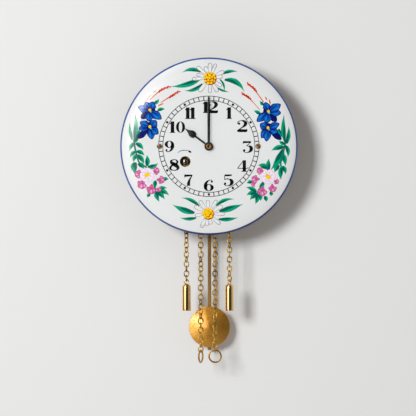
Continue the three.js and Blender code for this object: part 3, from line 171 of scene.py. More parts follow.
# Chains, weights and rings: runs with their x, count of links and twist at even steps from hook to end
CHAIN_DEPTH = 36.25
FIRST_LINK = -63.585
LINK_PITCH = 4.01
LINK_LENGTH = 5.93
LINK_WIDTH = 4.9
LINK_WIRE = 1.05
LINK_STEPS = 24
CHAIN_RUNS = [
    ("weight_chain_left", -19.175, 13, (0, 0.8, 1.1, QUARTER)),
    ("ring_chain_left", -7.025, 28, (0, 1.57, 1.57, 0.8, 0, 0, 0.5, 1.4, 1.5, 1.257)),
    ("ring_chain_right", 5.125, 28, (0, 1.57, 1.57, 1.57, 1.57, 1.57, 1.9, 2.36, 2.5, math.pi)),
    ("weight_chain_right", 17.275, 13, (0, -0.6, 0, -0.7))]
WEIGHT_RADIUS = 3.7
WEIGHT_TOP = -116.62
WEIGHT_BOTTOM = -139.12
WEIGHT_DISH = [(0.0, 0.12), (1.2, 0.1), (WEIGHT_RADIUS - 0.5, 0.0)]
WEIGHT_FOOT = 0.4
WEIGHT_SHOULDER = 2.6
WEIGHT_CROWN = [(0.6, 0.02), (0.0, 0.03)]
WEIGHT_EYE = 1.9
EYE_WIRE = 0.5
RING_RADIUS = 5.08
RING_WIRE = 0.72
RING_CENTRE = -177.83
RING_GAP = 0.4
RING_GAP_ANGLE = 0.85

# Pendulum: the strap and its opening as depth, width, thickness and height
BOB_RADIUS = 17.5
BOB_CENTRE = -154.5
BOB_BACK = 14.0
BOB_CHAMFER = 0.2
BOB_EDGE = 0.8
BOB_SHOULDER = [(0.25, 0.18), (0.7, 0.3)]
BOB_RISE = 3.0
BOB_TIP = 1.6
BOB_TIP_FALL = 0.1
STRAP = (12.25, 6.0, 4.1, 12.0)
STRAP_OPENING = (12.5, 3.6, 3.0, 14.0)
STRAP_EDGE = 0.2
ROD_EDGE = 0.45

# Case and movement
BOARD_EDGE = 0.5
BROKEN_EDGES = {
    "movement_back_plate": 0.15, "movement_front_plate": 0.15, "chain_hook_strip": 0.12,
    "winding_arbor": 0.25}
DOME_END = 6.0
DOME_CUTS = 9

# Camera, and stage in metres
FRAME_WIDTH = 351.0
FRAME_MIDDLE = (-0.8, -52.0)
CAMERA_PLACE = (32.0, -6.0)
CAMERA_DISTANCE = 2000.0
SENSOR = 36.0
STAGE_SIZE = 6
WALL_GAP = 0.0006
FLOOR_HEIGHT = -1.1
KEY_PLACE = (-0.68, -1.68, 0.34)
KEY_AIM = (0, -0.04, -0.05)
KEY_SIZE = 0.42
KEY_COLOUR = (0.965, 0.985, 1.0)
KEY_POWER = {"soft_box": 9.0, "soft_box_clear_of_hands": 16.2}


# Selecting and editing

def only(*pieces):
    """Selects these pieces alone, with the last one active."""
    bpy.ops.object.select_all(action="DESELECT")
    for piece in pieces:
        piece.select_set(True)
        bpy.context.view_layer.objects.active = piece


def edit(piece):
    """Opens a piece in edit mode with all of it selected."""
    only(piece)
    bpy.ops.object.mode_set(mode="EDIT")
    bpy.ops.mesh.select_all(action="SELECT")


def leave():
    bpy.ops.object.mode_set(mode="OBJECT")


def pick(test, kind="VERT"):
    """Selects in edit mode what passes a test of its place, or of a face's middle and normal."""
    bpy.ops.mesh.select_mode(type=kind)
    bpy.ops.mesh.select_all(action="DESELECT")
    shape = bmesh.from_edit_mesh(bpy.context.object.data)
    for face in shape.faces if kind == "FACE" else ():
        face.select_set(bool(test(face.calc_center_median(), face.normal)))
    for vertex in shape.verts if kind == "VERT" else ():
        vertex.select_set(bool(test(vertex.co)))
    shape.select_flush(True)
    bmesh.update_edit_mesh(bpy.context.object.data)


def weld():
    bpy.ops.mesh.remove_doubles(threshold=WELD)


def named(piece, name):
    piece.name = piece.data.name = name
    return piece


def applied(piece, kind, **settings):
    """Adds a modifier with these settings and applies it."""
    only(piece)
    modifier = piece.modifiers.new(kind, kind)
    for key, value in settings.items():
        setattr(modifier, key, value)
    bpy.ops.object.modifier_apply(modifier=modifier.name)
    return piece


def smoothed(piece, degrees=35):
    only(piece)
    bpy.ops.object.shade_smooth_by_angle(angle=math.radians(degrees))
    return piece


def joined(name, parts):
    only(*parts)
    if len(parts) > 1:
        bpy.ops.object.join()
    return named(bpy.context.object, name)


def own_copy(piece):
    """A copy with its own mesh."""
    copy = piece.copy()
    copy.data = piece.data.copy()
    bpy.context.scene.collection.objects.link(copy)
    return copy


def dropped(piece):
    only(piece)
    bpy.ops.object.delete()


# Making shapes

def here(x, depth, z):
    """A point in metres."""
    return (x * MM, -depth * MM, z * MM)


def way(angle):
    return math.cos(angle), math.sin(angle)


def settled(piece, scale=(1, 1, 1)):
    """Puts a piece's place, turn and size into its mesh."""
    only(piece)
    piece.scale = scale
    bpy.ops.object.transform_apply(location=True, rotation=True, scale=True)
    return piece


def primitive(add, scale=(1, 1, 1), **settings):
    """Adds a primitive by its operator and settles it."""
    only()
    add(**settings)
    return settled(bpy.context.object, scale)


def drawn(name, points):
    """Draws a line of points and stays in edit mode with the line selected."""
    piece = named(primitive(bpy.ops.mesh.primitive_plane_add, size=MM, location=points[0]), name)
    edit(piece)
    bpy.ops.mesh.select_mode(type="VERT")
    bpy.ops.mesh.merge(type="CENTER")
    for start, end in zip(points, points[1:]):
        step = Vector(end) - Vector(start)
        bpy.ops.mesh.extrude_vertices_move(TRANSFORM_OT_translate={"value": step})
    bpy.ops.mesh.select_all(action="SELECT")
    return piece


def cleaned(piece):
    bpy.ops.mesh.select_all(action="SELECT")
    weld()
    bpy.ops.mesh.normals_make_consistent(inside=False)
    leave()
    return piece


def turned(name, profile, x=0.0, depth=0.0, z=0.0, upright=False, steps=64):
    """Spins a half profile of radius and depth, or of radius and height."""
    points = [here(x + r, depth, at) if upright else here(x + r, at, z) for r, at in profile]
    piece = drawn(name, points)
    axis = (0, 0, 1) if upright else (0, 1, 0)
    bpy.ops.mesh.spin(steps=steps, angle=TURN, center=here(x, depth, z), axis=axis)
    return cleaned(piece)


def sheet_cut(name, outline, depth, thickness):
    """A flat piece of sheet with this outline of x and z, its back at a depth."""
    piece = drawn(name, [here(x, depth, z) for x, z in outline])
    bpy.ops.mesh.edge_face_add()
    bpy.ops.mesh.extrude_region_move(TRANSFORM_OT_translate={"value": (0, -thickness * MM, 0)})
    return cleaned(piece)


def rounded(piece, width, segments=3, degrees=40):
    return applied(
        piece, "BEVEL", width=width * MM, segments=segments, limit_method="ANGLE",
        angle_limit=math.radians(degrees))


def merged(piece):
    """Merges points that lie together and drops what is left without an area."""
    edit(piece)
    weld()
    bpy.ops.mesh.dissolve_degenerate(threshold=WELD)
    leave()
    return piece


def bored(piece, tool):
    applied(piece, "BOOLEAN", operation="DIFFERENCE", solver="EXACT", object=tool)
    dropped(tool)
    return merged(piece)


def drill(x, depth, z, radius, length, vertices=48):
    """A tool for a round hole along the depth, centred at a depth."""
    return primitive(
        bpy.ops.mesh.primitive_cylinder_add, vertices=vertices, radius=radius * MM, depth=length * MM,
        location=here(x, depth, z), rotation=(QUARTER, 0, 0))


def slab(x, depth, z, width, thickness, height, turn=0.0):
    """A box around a middle point, turned about the depth."""
    return primitive(
        bpy.ops.mesh.primitive_cube_add, (width, thickness, height), size=MM, location=here(x, depth, z),
        rotation=(0, turn, 0))


def wire_ring(x, z, radius, wire, turn, steps=48, sides=14):
    """A ring of round wire that hangs upright on the chains' depth, turned about its hanger."""
    return primitive(
        bpy.ops.mesh.primitive_torus_add, major_radius=radius * MM, minor_radius=wire * MM,
        major_segments=steps, minor_segments=sides, location=here(x, CHAIN_DEPTH, z),
        rotation=(QUARTER, 0, turn))


# Shader maths

# Outputs of the coordinates node
DIRECTION = 0
OWN_COORDINATES = 3

# Where most of a noise lies
NOISE_SPAN = (0.3, 0.7)
COAT_ROUGHNESS = 0.24


def tone(red, green, blue):
    """A colour as a screen shows it, from 0 to 255, as the linear colour that the shader takes."""
    def linear(value):
        share = value / 255
        return share / 12.92 if share <= 0.04045 else ((share + 0.055) / 1.055) ** 2.4
    return (linear(red), linear(green), linear(blue), 1.0)


def worked(operation, swapped=False):
    def method(self, other):
        first, second = (other, self) if swapped else (self, other)
        return self.finish.maths(operation, first, second)
    return method


class Value:
    """A socket of a finish. Arithmetic on it adds Math nodes."""

    def __init__(self, finish, socket):
        self.finish = finish
        self.socket = socket

    __add__ = __radd__ = worked("ADD")
    __mul__ = __rmul__ = worked("MULTIPLY")
    __sub__ = worked("SUBTRACT")
    __rsub__ = worked("SUBTRACT", True)
    __pow__ = worked("POWER")
    __rpow__ = worked("POWER", True)


class Finish:
    """A procedural material, or the world's nodes."""

    def __init__(self, name, tree=None):
        if tree is None:
            self.material = bpy.data.materials.new(name)
            self.material.use_nodes = True
            tree = self.material.node_tree
        self.tree = tree
        tree.nodes.clear()

    def add(self, kind, settings=None, sockets=None, out=0):
        """Adds a node: its settings first, then the values or links of its sockets."""
        node = self.tree.nodes.new(kind)
        for key, value in (settings or {}).items():
            setattr(node, key, value)
        for key, value in (sockets or {}).items():
            if isinstance(value, Value):
                self.tree.links.new(value.socket, node.inputs[key])
            else:
                node.inputs[key].default_value = value
        return Value(self, node.outputs[out]) if len(node.outputs) else None

    def outs(self, *node):
        """All the outputs of a new node."""
        return [Value(self, socket) for socket in self.add(*node).socket.node.outputs]

    def maths(self, operation, *values):
        return self.add("ShaderNodeMath", {"operation": operation}, dict(enumerate(values)))

    def axes(self, coordinates):
        place = self.add("ShaderNodeTexCoord", out=coordinates)
        return self.outs("ShaderNodeSeparateXYZ", None, {0: place})

    def noise(self, scale, detail=3.0, stretch=(1, 1, 1), rough=0.5):
        spot = self.add("ShaderNodeTexCoord", out=OWN_COORDINATES)
        place = self.add("ShaderNodeMapping", None, {"Vector": spot, "Scale": stretch})
        return self.add("ShaderNodeTexNoise", None, {
            "Vector": place, "Scale": scale, "Detail": detail, "Roughness": rough})

    def ramp(self, value, low, high, start=0.0, end=1.0):
        return self.add("ShaderNodeMapRange", {"interpolation_type": "SMOOTHSTEP"}, {
            "Value": value, "From Min": low, "From Max": high, "To Min": start, "To Max": end})

    def mix(self, share, first, second, blend="MIX"):
        return self.add("ShaderNodeMix", {"data_type": "RGBA", "blend_type": blend}, {
            0: share, 6: first, 7: second}, out=2)

    def level(self, share, first, second):
        return self.add("ShaderNodeMix", {"data_type": "FLOAT"}, {0: share, 2: first, 3: second})

    def gloss(self, cloud, low, high):
        """A roughness between two values, which a noise sways."""
        return self.ramp(cloud, *NOISE_SPAN, low, high)

    def surface(self, colour, gloss, bumps, **others):
        """Ends a finish with its colour, its roughness and the height, strength and distance of its bumps."""
        height, strength, distance = bumps
        normal = self.add("ShaderNodeBump", None, {
            "Height": height, "Strength": strength, "Distance": distance * MM})
        shader = self.add("ShaderNodeBsdfPrincipled", None, {
            "Base Color": colour, "Roughness": gloss, "Normal": normal,
            **{key.replace("_", " "): value for key, value in others.items()}})
        self.add("ShaderNodeOutputMaterial", None, {"Surface": shader})
        return self


def enamel_white():
    """Fired white enamel with a blue band painted on the very edge, with painted shade that makes the band
    wider and darker towards the lower right.
    """
    finish = Finish("enamel_white")
    x, _, z = finish.axes(OWN_COORDINATES)
    white = finish.mix(finish.noise(18, 3), tone(226, 227, 227), tone(233, 234, 234))
    # Painted shade: the blue band widens and darkens towards the lower right, away from the light
    lower_right_shade = finish.ramp(x * 0.34 - z * 0.94, 40 * MM, 72 * MM)
    sway = (finish.noise(45, 2) - 0.5) * (RIM_SWAY * MM)
    reach = (x * x + z * z) ** 0.5 + sway + lower_right_shade * (RIM_SHADE_WIDENING * MM)
    band = finish.ramp(reach, RIM_PAINT[0] * MM, RIM_PAINT[1] * MM)
    blue = finish.mix(finish.noise(120, 2), tone(0, 40, 124), tone(0, 90, 176))
    # Painted shade: darker blue towards the lower right
    blue = finish.mix(lower_right_shade * 0.75, blue, tone(0, 24, 92))
    return finish.surface(
        finish.mix(band, white, blue), finish.gloss(finish.noise(60, 3), 0.16, 0.24),
        (finish.noise(160, 2), 0.12, 0.05), IOR=1.5)


def enamel_back():
    """Dark speckled ground coat on the back of the dial."""
    finish = Finish("enamel_back")
    specks = finish.ramp(finish.noise(900, 2), 0.6, 0.68)
    cloud = finish.noise(30, 4)
    ground = finish.mix(cloud, tone(38, 42, 50), tone(62, 66, 74))
    return finish.surface(
        finish.mix(specks, ground, tone(150, 152, 156)), finish.gloss(cloud, 0.3, 0.5),
        (finish.noise(300, 3), 0.2, 0.05))


def fired_colour():
    """Painted and fired colours: each stroke carries its own shades."""
    finish = Finish("fired_colour")
    shade = finish.add("ShaderNodeAttribute", {"attribute_name": "glaze"})
    streak = finish.noise(420)
    darker = finish.mix(1.0, shade, (0.8, 0.8, 0.84, 1), "MULTIPLY")
    return finish.surface(
        finish.mix(finish.ramp(streak, 0.45, 0.75), shade, darker), finish.gloss(streak, 0.14, 0.22),
        (streak, 0.06, 0.03), IOR=1.5)


def brass(name, bright, dull, low, high, scale, wear=0.5, grain=0.05, metal=1.0, speckle=0.3, lacquer=0.0,
          rolled=False):
    """Brass with cloudy tarnish between two colours, lacquered or with the lines that rolling leaves."""
    finish = Finish(name)
    cloud = finish.noise(scale, 4)
    fine = finish.noise(scale * 9, 3)
    tarnish = finish.ramp(cloud * (1 - speckle) + fine * speckle, wear - 0.12, wear + 0.18)
    colour = finish.mix(tarnish, bright, dull)
    gloss = finish.gloss(cloud * 0.5 + fine * 0.5, low, high)
    bumps = (fine, grain, 0.02)
    if rolled:
        lines = finish.noise(scale * 2, 4, (1, 1, 40), 0.6)
        colour = finish.mix(finish.ramp(lines, 0.35, 0.7, 0.0, 0.35), colour, dull)
        gloss = gloss + (lines - 0.5) * 0.18
        bumps = (lines, 0.25, 0.03)
    return finish.surface(
        colour, gloss, bumps, Metallic=metal, Coat_Weight=lacquer, Coat_Roughness=COAT_ROUGHNESS)


def steel(name, light, dark, low, high, stretch=(1, 40, 1), metal=1.0):
    finish = Finish(name)
    lines = finish.noise(260, 3, stretch)
    cloud = finish.noise(90, 3)
    return finish.surface(
        finish.mix(cloud, light, dark), finish.gloss(lines * 0.6 + cloud * 0.4, low, high),
        (lines, 0.08, 0.02), Metallic=metal)


def wood(name, pale, deep, grain, gloss, scale=1.0):
    """Stained wood with its grain along one axis."""
    finish = Finish(name)
    stretch = [1.0 if axis == grain else 14.0 for axis in "xyz"]
    flow = finish.noise(22 * scale, 5, stretch, 0.6)
    pores = finish.noise(130 * scale, 3, stretch, 0.7)
    cloud = finish.noise(14 * scale, 2)
    colour = finish.mix(finish.ramp(flow, 0.3, 0.7), deep, pale)
    dark = finish.mix(1.0, colour, (0.45, 0.42, 0.4, 1), "MULTIPLY")
    colour = finish.mix(finish.ramp(pores, 0.56, 0.72, 0.0, 0.75), colour, dark)
    return finish.surface(
        finish.mix(cloud * 0.25, colour, pale), finish.gloss(pores, gloss, gloss + 0.2),
        (pores * 0.6 + flow * 0.4, 0.3, 0.06))


ENAMEL = enamel_white()
ENAMEL_BACK = enamel_back()
FIRED = fired_colour()
POLISHED = brass(
    "polished_brass", tone(244, 208, 144), tone(222, 178, 110), 0.05, 0.1, 60, wear=0.58, grain=0.02)
SCREW_BRASS = brass("screw_brass", tone(176, 152, 118), tone(122, 98, 68), 0.24, 0.4, 200, metal=0.5)
NUT_BRASS = brass("nut_brass", tone(200, 146, 84), tone(152, 106, 60), 0.22, 0.36, 200)
# Painted shade for the floor and walls of the screw slots
SLOT_SHADE = brass("slot_grime", tone(52, 38, 28), tone(30, 22, 18), 0.5, 0.7, 200)
CHAIN = brass("chain_brass", tone(220, 178, 82), tone(114, 86, 32), 0.16, 0.3, 140)
RING_BRASS = brass("ring_brass", tone(212, 162, 62), tone(126, 88, 28), 0.14, 0.28, 120)
SATIN = brass(
    "satin_brass", tone(232, 174, 66), tone(200, 135, 34), 0.36, 0.5, 110, grain=1.0, speckle=0.7,
    lacquer=1.0)
# A darker copy of the movement brass: painted shade for the front plate, which shows through the key hole
SHADED_PLATE_BRASS = brass("plate_brass", tone(140, 108, 48), tone(96, 72, 30), 0.4, 0.6, 80)
ROLLED = brass("rolled_brass", tone(216, 178, 92), tone(168, 130, 60), 0.26, 0.4, 40, rolled=True)
STEEL = steel("polished_steel", tone(206, 206, 208), tone(158, 160, 164), 0.16, 0.3)
DARK_STEEL = steel("dark_steel", tone(150, 148, 152), tone(112, 110, 114), 0.05, 0.09)
BLUED = steel("blued_steel", tone(24, 27, 36), tone(13, 15, 21), 0.26, 0.42, (1, 1, 1), 0.4)
CASE_UPRIGHT = wood("case_wood_upright", tone(146, 96, 54), tone(98, 60, 32), "z", 0.42)
CASE_LEVEL = wood("case_wood_level", tone(146, 96, 54), tone(98, 60, 32), "x", 0.42)
ROD_WOOD = wood("rod_wood", tone(167, 127, 68), tone(125, 91, 45), "z", 0.5, 2.0)


def fitted(piece, body, slot, finish, *nodes):
    """Gives a finished piece its material and body, and the nodes that it stands for; its slot is not used.
    """
    if not piece.data.materials:
        piece.data.materials.append(finish.material)
    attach(piece, body)
    if nodes:
        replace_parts(piece, *nodes)
    return piece


def painted(piece, finish, other, test):
    """Gives a piece two finishes, the other one on the faces that pass a test."""
    for one in (finish, other):
        piece.data.materials.append(one.material)
    edit(piece)
    pick(test, "FACE")
    piece.active_material_index = 1
    bpy.ops.object.material_slot_assign()
    leave()


# Dial

def dial_depth(radius):
    """Depth of the dial's front at a radius."""
    if radius <= FLAT_RADIUS:
        return DIAL_FRONT
    if radius <= FLAT_RADIUS + DOME_WIDTH:
        return DIAL_FRONT - ((radius - FLAT_RADIUS) / DOME_WIDTH) ** DOME_POWER * CROWN
    across = min(1.0, (radius - ROLL_CENTRE) / ROLL_RADIUS)
    return ROLL_DEPTH + ROLL_RADIUS * math.sqrt(1 - across * across)


def dial_face(sink):
    """Half profile of the dial's front, or of its back where it is sunk by the sheet."""
    points = [(CENTRE_HOLE, DIAL_FRONT - sink), (FLAT_RADIUS, DIAL_FRONT - sink)]
    for i in range(1, DOME_STEPS):
        share = i / DOME_STEPS
        points.append((FLAT_RADIUS + share * DOME_WIDTH, DIAL_FRONT - sink - share ** DOME_POWER * CROWN))
    for i in range(ROLL_STEPS + 1):
        angle = EDGE_SLOPE + (QUARTER - EDGE_SLOPE) * i / ROLL_STEPS
        reach = ROLL_RADIUS - sink
        points.append((ROLL_CENTRE + reach * math.sin(angle), ROLL_DEPTH + reach * math.cos(angle)))
    return points


def make_dial():
    edge = [
        (DIAL_RADIUS, LIP_DEPTH + LIP_ROUND), (DIAL_RADIUS - LIP_ROUND, LIP_DEPTH),
        (DIAL_RADIUS - SHEET + LIP_ROUND, LIP_DEPTH), (DIAL_RADIUS - SHEET, LIP_DEPTH + LIP_ROUND)]
    front, back = dial_face(0.0), dial_face(SHEET)
    piece = turned("enamelled_dial", [*front, *edge, *reversed(back), front[0]], steps=DIAL_STEPS)
    screws = [(side * DIAL_SCREW_X, 0, SCREW_HOLE, 32) for side in (-1, 1)]
    for x, z, radius, vertices in [(*KEY_HOLE, 64), *screws]:
        bored(piece, drill(x, DIAL_FRONT, z, radius, 6 * SHEET, vertices))

    def behind(middle, normal):
        radius = math.hypot(middle.x, middle.z) / MM
        hidden = FLAT_RADIUS < radius < DIAL_RADIUS - SHEET / 2
        return normal.y > 0.05 or (hidden and normal.y > -0.02)

    painted(piece, ENAMEL, ENAMEL_BACK, behind)
    smoothed(piece, 40)
    fitted(piece, "case", "enamel", ENAMEL, "dial_plate")


# Painting on the dial: strokes are drawn flat, with their lift as their depth, and then laid on it

LEAF_LIGHT = tone(0, 172, 126)
LEAF_MIDDLE = tone(0, 146, 112)
LEAF_DARK = tone(0, 98, 84)
SKY_BLUE = tone(0, 116, 214)
SKY_DEEP = tone(0, 62, 160)
SKY_PALE = tone(40, 140, 226)
NAVY = tone(4, 18, 96)
TURQUOISE = tone(70, 190, 200)
YELLOW = tone(255, 206, 0)
LEMON = tone(255, 232, 90)
AMBER = tone(248, 174, 0)
RED_BROWN = tone(150, 32, 16)
GRASS = tone(206, 54, 6)
GRASS_PALE = tone(220, 112, 66)
PINK = tone(226, 124, 184)
ROSE = tone(176, 30, 106)
BLUSH = tone(240, 184, 218)
LILAC = tone(226, 210, 236)
PETAL_WHITE = tone(234, 235, 235)
ROSE_WHITE = tone(248, 244, 250)
PETAL_LINE = tone(138, 136, 140)
PETAL_FAINT = tone(160, 158, 162)
PRINT_BLACK = tone(10, 10, 12)
PRINT_GREY = tone(26, 25, 25)

LEAF_FULLNESS = 1.2
GRASS_FULLNESS = 1.35
STEM_WIDTH = 1.5
ROSE_PETALS = 7


def through(points, steps):
    """A smooth line through points, each of any values."""
    padded = [points[0], *points, points[-1]]
    spans = len(points) - 1
    line = []
    for i in range(steps + 1):
        at = spans * i / steps
        k = min(int(at), spans - 1)
        t = at - k
        line.append([
            q + 0.5 * ((r - p) * t + (2 * p - 5 * q + 4 * r - s) * t ** 2 + (3 * q - p - 3 * r + s) * t ** 3)
            for p, q, r, s in zip(*padded[k:k + 4])])
    return line


def blended(first, second, share):
    return [a + (b - a) * share for a, b in zip(first, second)]


def lift(layer):
    return PAINT_LIFT + layer * PAINT_LAYER


def glaze(piece):
    """The shades that a piece of paint carries, one for each point."""
    return piece.data.color_attributes.new("glaze", "FLOAT_COLOR", "POINT")


def strip(steps, across):
    """A flat grid from -1 to 1, to be laid out as paint."""
    only()
    bpy.ops.mesh.primitive_grid_add(x_subdivisions=steps, y_subdivisions=across, size=2)
    return bpy.context.object


def stroke(points, layer, steps, across, root, tip=None, edge=None):
    """A brush stroke along points of x, z and half width, shaded from root to tip and to its edges."""
    line = through(points, steps)
    piece = strip(steps, across)
    shades = glaze(piece)
    for i, vertex in enumerate(piece.data.vertices):
        column = round((vertex.co.x + 1) / 2 * steps)
        side = vertex.co.y
        x, z, half = line[column]
        before, after = line[max(column - 1, 0)], line[min(column + 1, steps)]
        run, rise = after[0] - before[0], after[1] - before[1]
        half = max(half, THINNEST) * side / (math.hypot(run, rise) or 1.0)
        shade = blended(root, tip or root, column / steps)
        if edge:
            shade = blended(shade, edge, side ** 2)
        shades.data[i].color = shade
        vertex.co = here(x - rise * half, lift(layer), z + run * half)
    return piece


def spot(x, z, wide, layer, vertices, middle, edge=None, high=None):
    """A dab of colour, round unless it has a height of its own."""
    high = high or wide
    piece = primitive(
        bpy.ops.mesh.primitive_circle_add, (wide, high, 1), vertices=vertices, radius=MM, fill_type="TRIFAN",
        location=here(x, lift(layer), z), rotation=(QUARTER, 0, 0))
    shades = glaze(piece)
    for i, vertex in enumerate(piece.data.vertices):
        inner = math.hypot(vertex.co.x - x * MM, vertex.co.z - z * MM) < 0.2 * min(wide, high) * MM
        shades.data[i].color = middle if inner else edge or middle
    return piece


def ring(x, z, outer, inner, colour, steps=40):
    """A closed band between two ellipses of half width and half height."""
    piece = strip(steps, 1)
    shades = glaze(piece)
    for i, vertex in enumerate(piece.data.vertices):
        cos, sin = way(-(vertex.co.x + 1) / 2 * TURN)
        wide, high = outer if vertex.co.y > 0 else inner
        shades.data[i].color = colour
        vertex.co = here(x + wide * cos, lift(0), z + high * sin)
    edit(piece)
    weld()
    leave()
    return piece


def laid_on_dial(name, parts):
    """Joins strokes, bends them over the dial and gives the paint its thickness."""
    piece = joined(name, parts)
    for vertex in piece.data.vertices:
        x, y, z = vertex.co
        vertex.co.y = y - dial_depth(math.hypot(x, z) / MM) * MM
    applied(piece, "SOLIDIFY", thickness=PAINT * MM, offset=-1.0)
    smoothed(piece, 30)
    return fitted(piece, "case", "enamel", FIRED)


def leaf(ax, az, bx, bz, bow, width):
    """A pointed leaf from root to tip, bowed sideways, with a dark brush mark from its root."""
    width *= LEAF_FULLNESS
    run, rise = bx - ax, bz - az
    length = math.hypot(run, rise)

    def at(share, half, off=0.0):
        lean = (bow * 4 * share * (1 - share) + off) / length
        return ax + run * share - rise * lean, az + rise * share + run * lean, half

    side = width * (0.17 if bow < 0 else -0.17)
    yield stroke([
        at(0.0, width * 0.16), at(0.2, width * 0.4), at(0.44, width * 0.5), at(0.7, width * 0.34),
        at(0.88, width * 0.13), at(1.04, 0.02)], 0, 15, 4, LEAF_LIGHT, LEAF_MIDDLE)
    yield stroke([
        at(0.0, width * 0.18), at(0.2, width * 0.26, side * 0.8), at(0.42, width * 0.24, side),
        at(0.7, 0.04, side * 0.8)], 1, 9, 2, LEAF_DARK)


def stem(*points):
    yield stroke([(x, z, STEM_WIDTH / 2) for x, z in points], 2, 16, 2, LEAF_DARK, LEAF_MIDDLE)


def along(x, z, angle, rows, size=1.0):
    """Points for a stroke that leaves a middle at an angle, from rows of reach and half width."""
    dx, dz = way(angle)
    return [(x + dx * reach * size, z + dz * reach * size, half * size) for reach, half in rows]


def petal(x, z, angle, length, width, layer, shades, start=0.8, point=0.1, belly=0.62):
    """A petal that leaves a flower's middle at an angle, shaded from root to tip and to its edges."""
    rows = ((0.0, 0.2), (belly * 0.55, 0.4), (belly, 0.5), (0.88, 0.22 + point), (1.0, point))
    rows = [(start + (length - start) * share, width * half) for share, half in rows]
    return stroke(along(x, z, angle, rows), layer, 12, 4, *shades)


def edelweiss(x, z, petals, line, heads, head):
    """White felted petals outlined in grey round a cluster of yellow heads, as rings of reach and count."""
    for i, (degrees, reach) in enumerate(petals):
        angle = math.radians(degrees)
        width = 3.3 + 0.3 * math.sin(2.6 * i)
        layer = 0.5 * i
        yield petal(x, z, angle, reach, width, layer, (line,), 3.0, 0.26, 0.66)
        yield petal(x, z, angle, reach - 0.42, width - 0.84, layer + 0.2, (PETAL_WHITE,), 3.0, 0.24, 0.66)
        crease = along(x, z, angle + 0.04, ((4.6, 0.12), (reach * 0.72, 0.04)))
        yield stroke(crease, layer + 0.3, 4, 1, line, PETAL_WHITE)
    base = 0.5 * len(petals) + 1
    outer = heads[0][0] + head * 0.8
    yield spot(x + 0.5, z - 0.6, outer, base, 24, RED_BROWN)
    for row, (reach, count) in enumerate(heads):
        layer = base + 1 + row
        for i in range(count):
            dx, dz = way(0.4 * row + TURN * i / count)
            cx, cz = x + reach * dx, z + reach * dz
            size = head * (1 + 0.08 * math.sin(2.1 * i))
            yield spot(cx + 0.38, cz - 0.48, size * 1.08, layer, 14, RED_BROWN)
            yield spot(cx, cz, size, layer + 0.3, 14, YELLOW, YELLOW if i % 3 else AMBER)
            yield spot(cx - 0.3 * size, cz + 0.3 * size, size * 0.42, layer + 0.6, 10, LEMON, YELLOW)


def gentian(x, z, tube, lobes):
    """A blue gentian: the dark tube behind it, and pointed lobes of angle, reach and width."""
    degrees, length = tube
    yield petal(x, z, math.radians(degrees), length, 5.4, 2, (NAVY,), 1.0, 0.1, 0.66)
    yield spot(x, z, 4.6, 2.5, 20, NAVY)
    for i, (degrees, reach, width) in enumerate(lobes):
        angle = math.radians(degrees)
        layer = 3 + i
        yield petal(x, z, angle, reach + 0.5, width + 1.1, layer, (NAVY,), 0.6, 0.0, 0.52)
        yield petal(x, z, angle, reach - 0.5, width - 0.4, layer + 0.3, (SKY_DEEP, SKY_BLUE), 2.0, 0.0, 0.56)
        yield petal(x, z, angle - 0.16, reach * 0.8, width * 0.16, layer + 0.6, (SKY_BLUE, SKY_PALE), 3.4)
        yield petal(x, z, angle + 0.12, reach * 0.8, 0.9, layer + 0.6, (NAVY, SKY_DEEP), 1.8, 0.05)
    top = 4 + len(lobes)
    yield spot(x, z, 2.0, top, 16, NAVY, high=1.9)
    yield spot(x - 0.1, z + 0.6, 1.2, top + 1, 12, YELLOW, high=1.3)
    yield spot(x + 0.75, z - 0.95, 0.8, top + 1, 10, TURQUOISE, high=0.7)


def bell(x, z, degrees, size):
    """One bell of the alpine rose: a tube that opens into three lobes with dark edges."""
    angle = math.radians(degrees)
    tube = along(x, z, angle, ((0.0, 0.5), (1.45, 1.3), (2.9, 2.1)), size)
    yield stroke(tube, 2, 8, 4, ROSE, PINK, PINK)
    x, z, _ = tube[-1]
    back = -0.7 * size
    for layer, turn, reach in ((3, 1.0, 3.0), (4, -1.1, 2.7), (5, 0.0, 3.0)):
        turn += angle
        yield petal(x, z, turn, reach * size, 3.5 * size, layer, (PINK, ROSE, ROSE), back, 0.3)
        yield petal(x, z, turn, (reach - 0.35) * size, 2.7 * size, layer + 0.3, (ROSE, PINK, PINK), back, 0.3)
        yield petal(x, z, turn + 0.2, (reach - 0.7) * size, size, layer + 0.6, (BLUSH,), 0.6, 0.2)


def open_rose(x, z, tilt):
    """The open pale flower in the middle of the alpine roses."""
    for i in range(ROSE_PETALS):
        angle = tilt + TURN * i / ROSE_PETALS
        layer = 7 + i
        yield petal(x, z, angle, 6.1, 4.2, layer, (LILAC, BLUSH, BLUSH), 1.0, 0.26)
        yield petal(x, z, angle, 5.7, 3.8, layer + 0.3, (LILAC, ROSE_WHITE, ROSE_WHITE), 1.0, 0.26)
        yield petal(x, z, angle + 0.12, 4.8, 0.5, layer + 0.6, (LILAC, BLUSH), 1.8)
    heart = ((-2.2, 0.4), (-1.6, 1.2), (0.0, 1.55), (1.6, 1.2), (2.2, 0.4))
    for layer, size, colour in ((15, 1.1, AMBER), (16, 0.96, YELLOW)):
        yield stroke(along(x, z, tilt, heart, size), layer, 12, 2, colour)


def grass(line, seeds):
    """A stem that thickens into a seed head, with seeds leaning out of its upper part."""
    yield stroke([(x, z, GRASS_FULLNESS * half) for x, z, half in line], 0, 16, 2, GRASS_PALE, GRASS)
    path = through(line, 24)
    for i in range(seeds):
        k = 10 + round(13 * i / (seeds - 1))
        (x, z, _), (bx, bz, _) = path[k], path[k - 2]
        length = math.hypot(x - bx, z - bz)
        dx, dz = (x - bx) / length, (z - bz) / length
        side = 1.0 if i % 2 else -1.0
        tx, tz = x + dx * 1.7 - dz * side, z + dz * 1.7 + dx * side
        yield stroke([
            (x - dx * 0.5, z - dz * 0.5, 0.3), ((x + tx) / 2, (z + tz) / 2, 0.55), (tx, tz, 0.14)],
            1, 6, 2, GRASS)


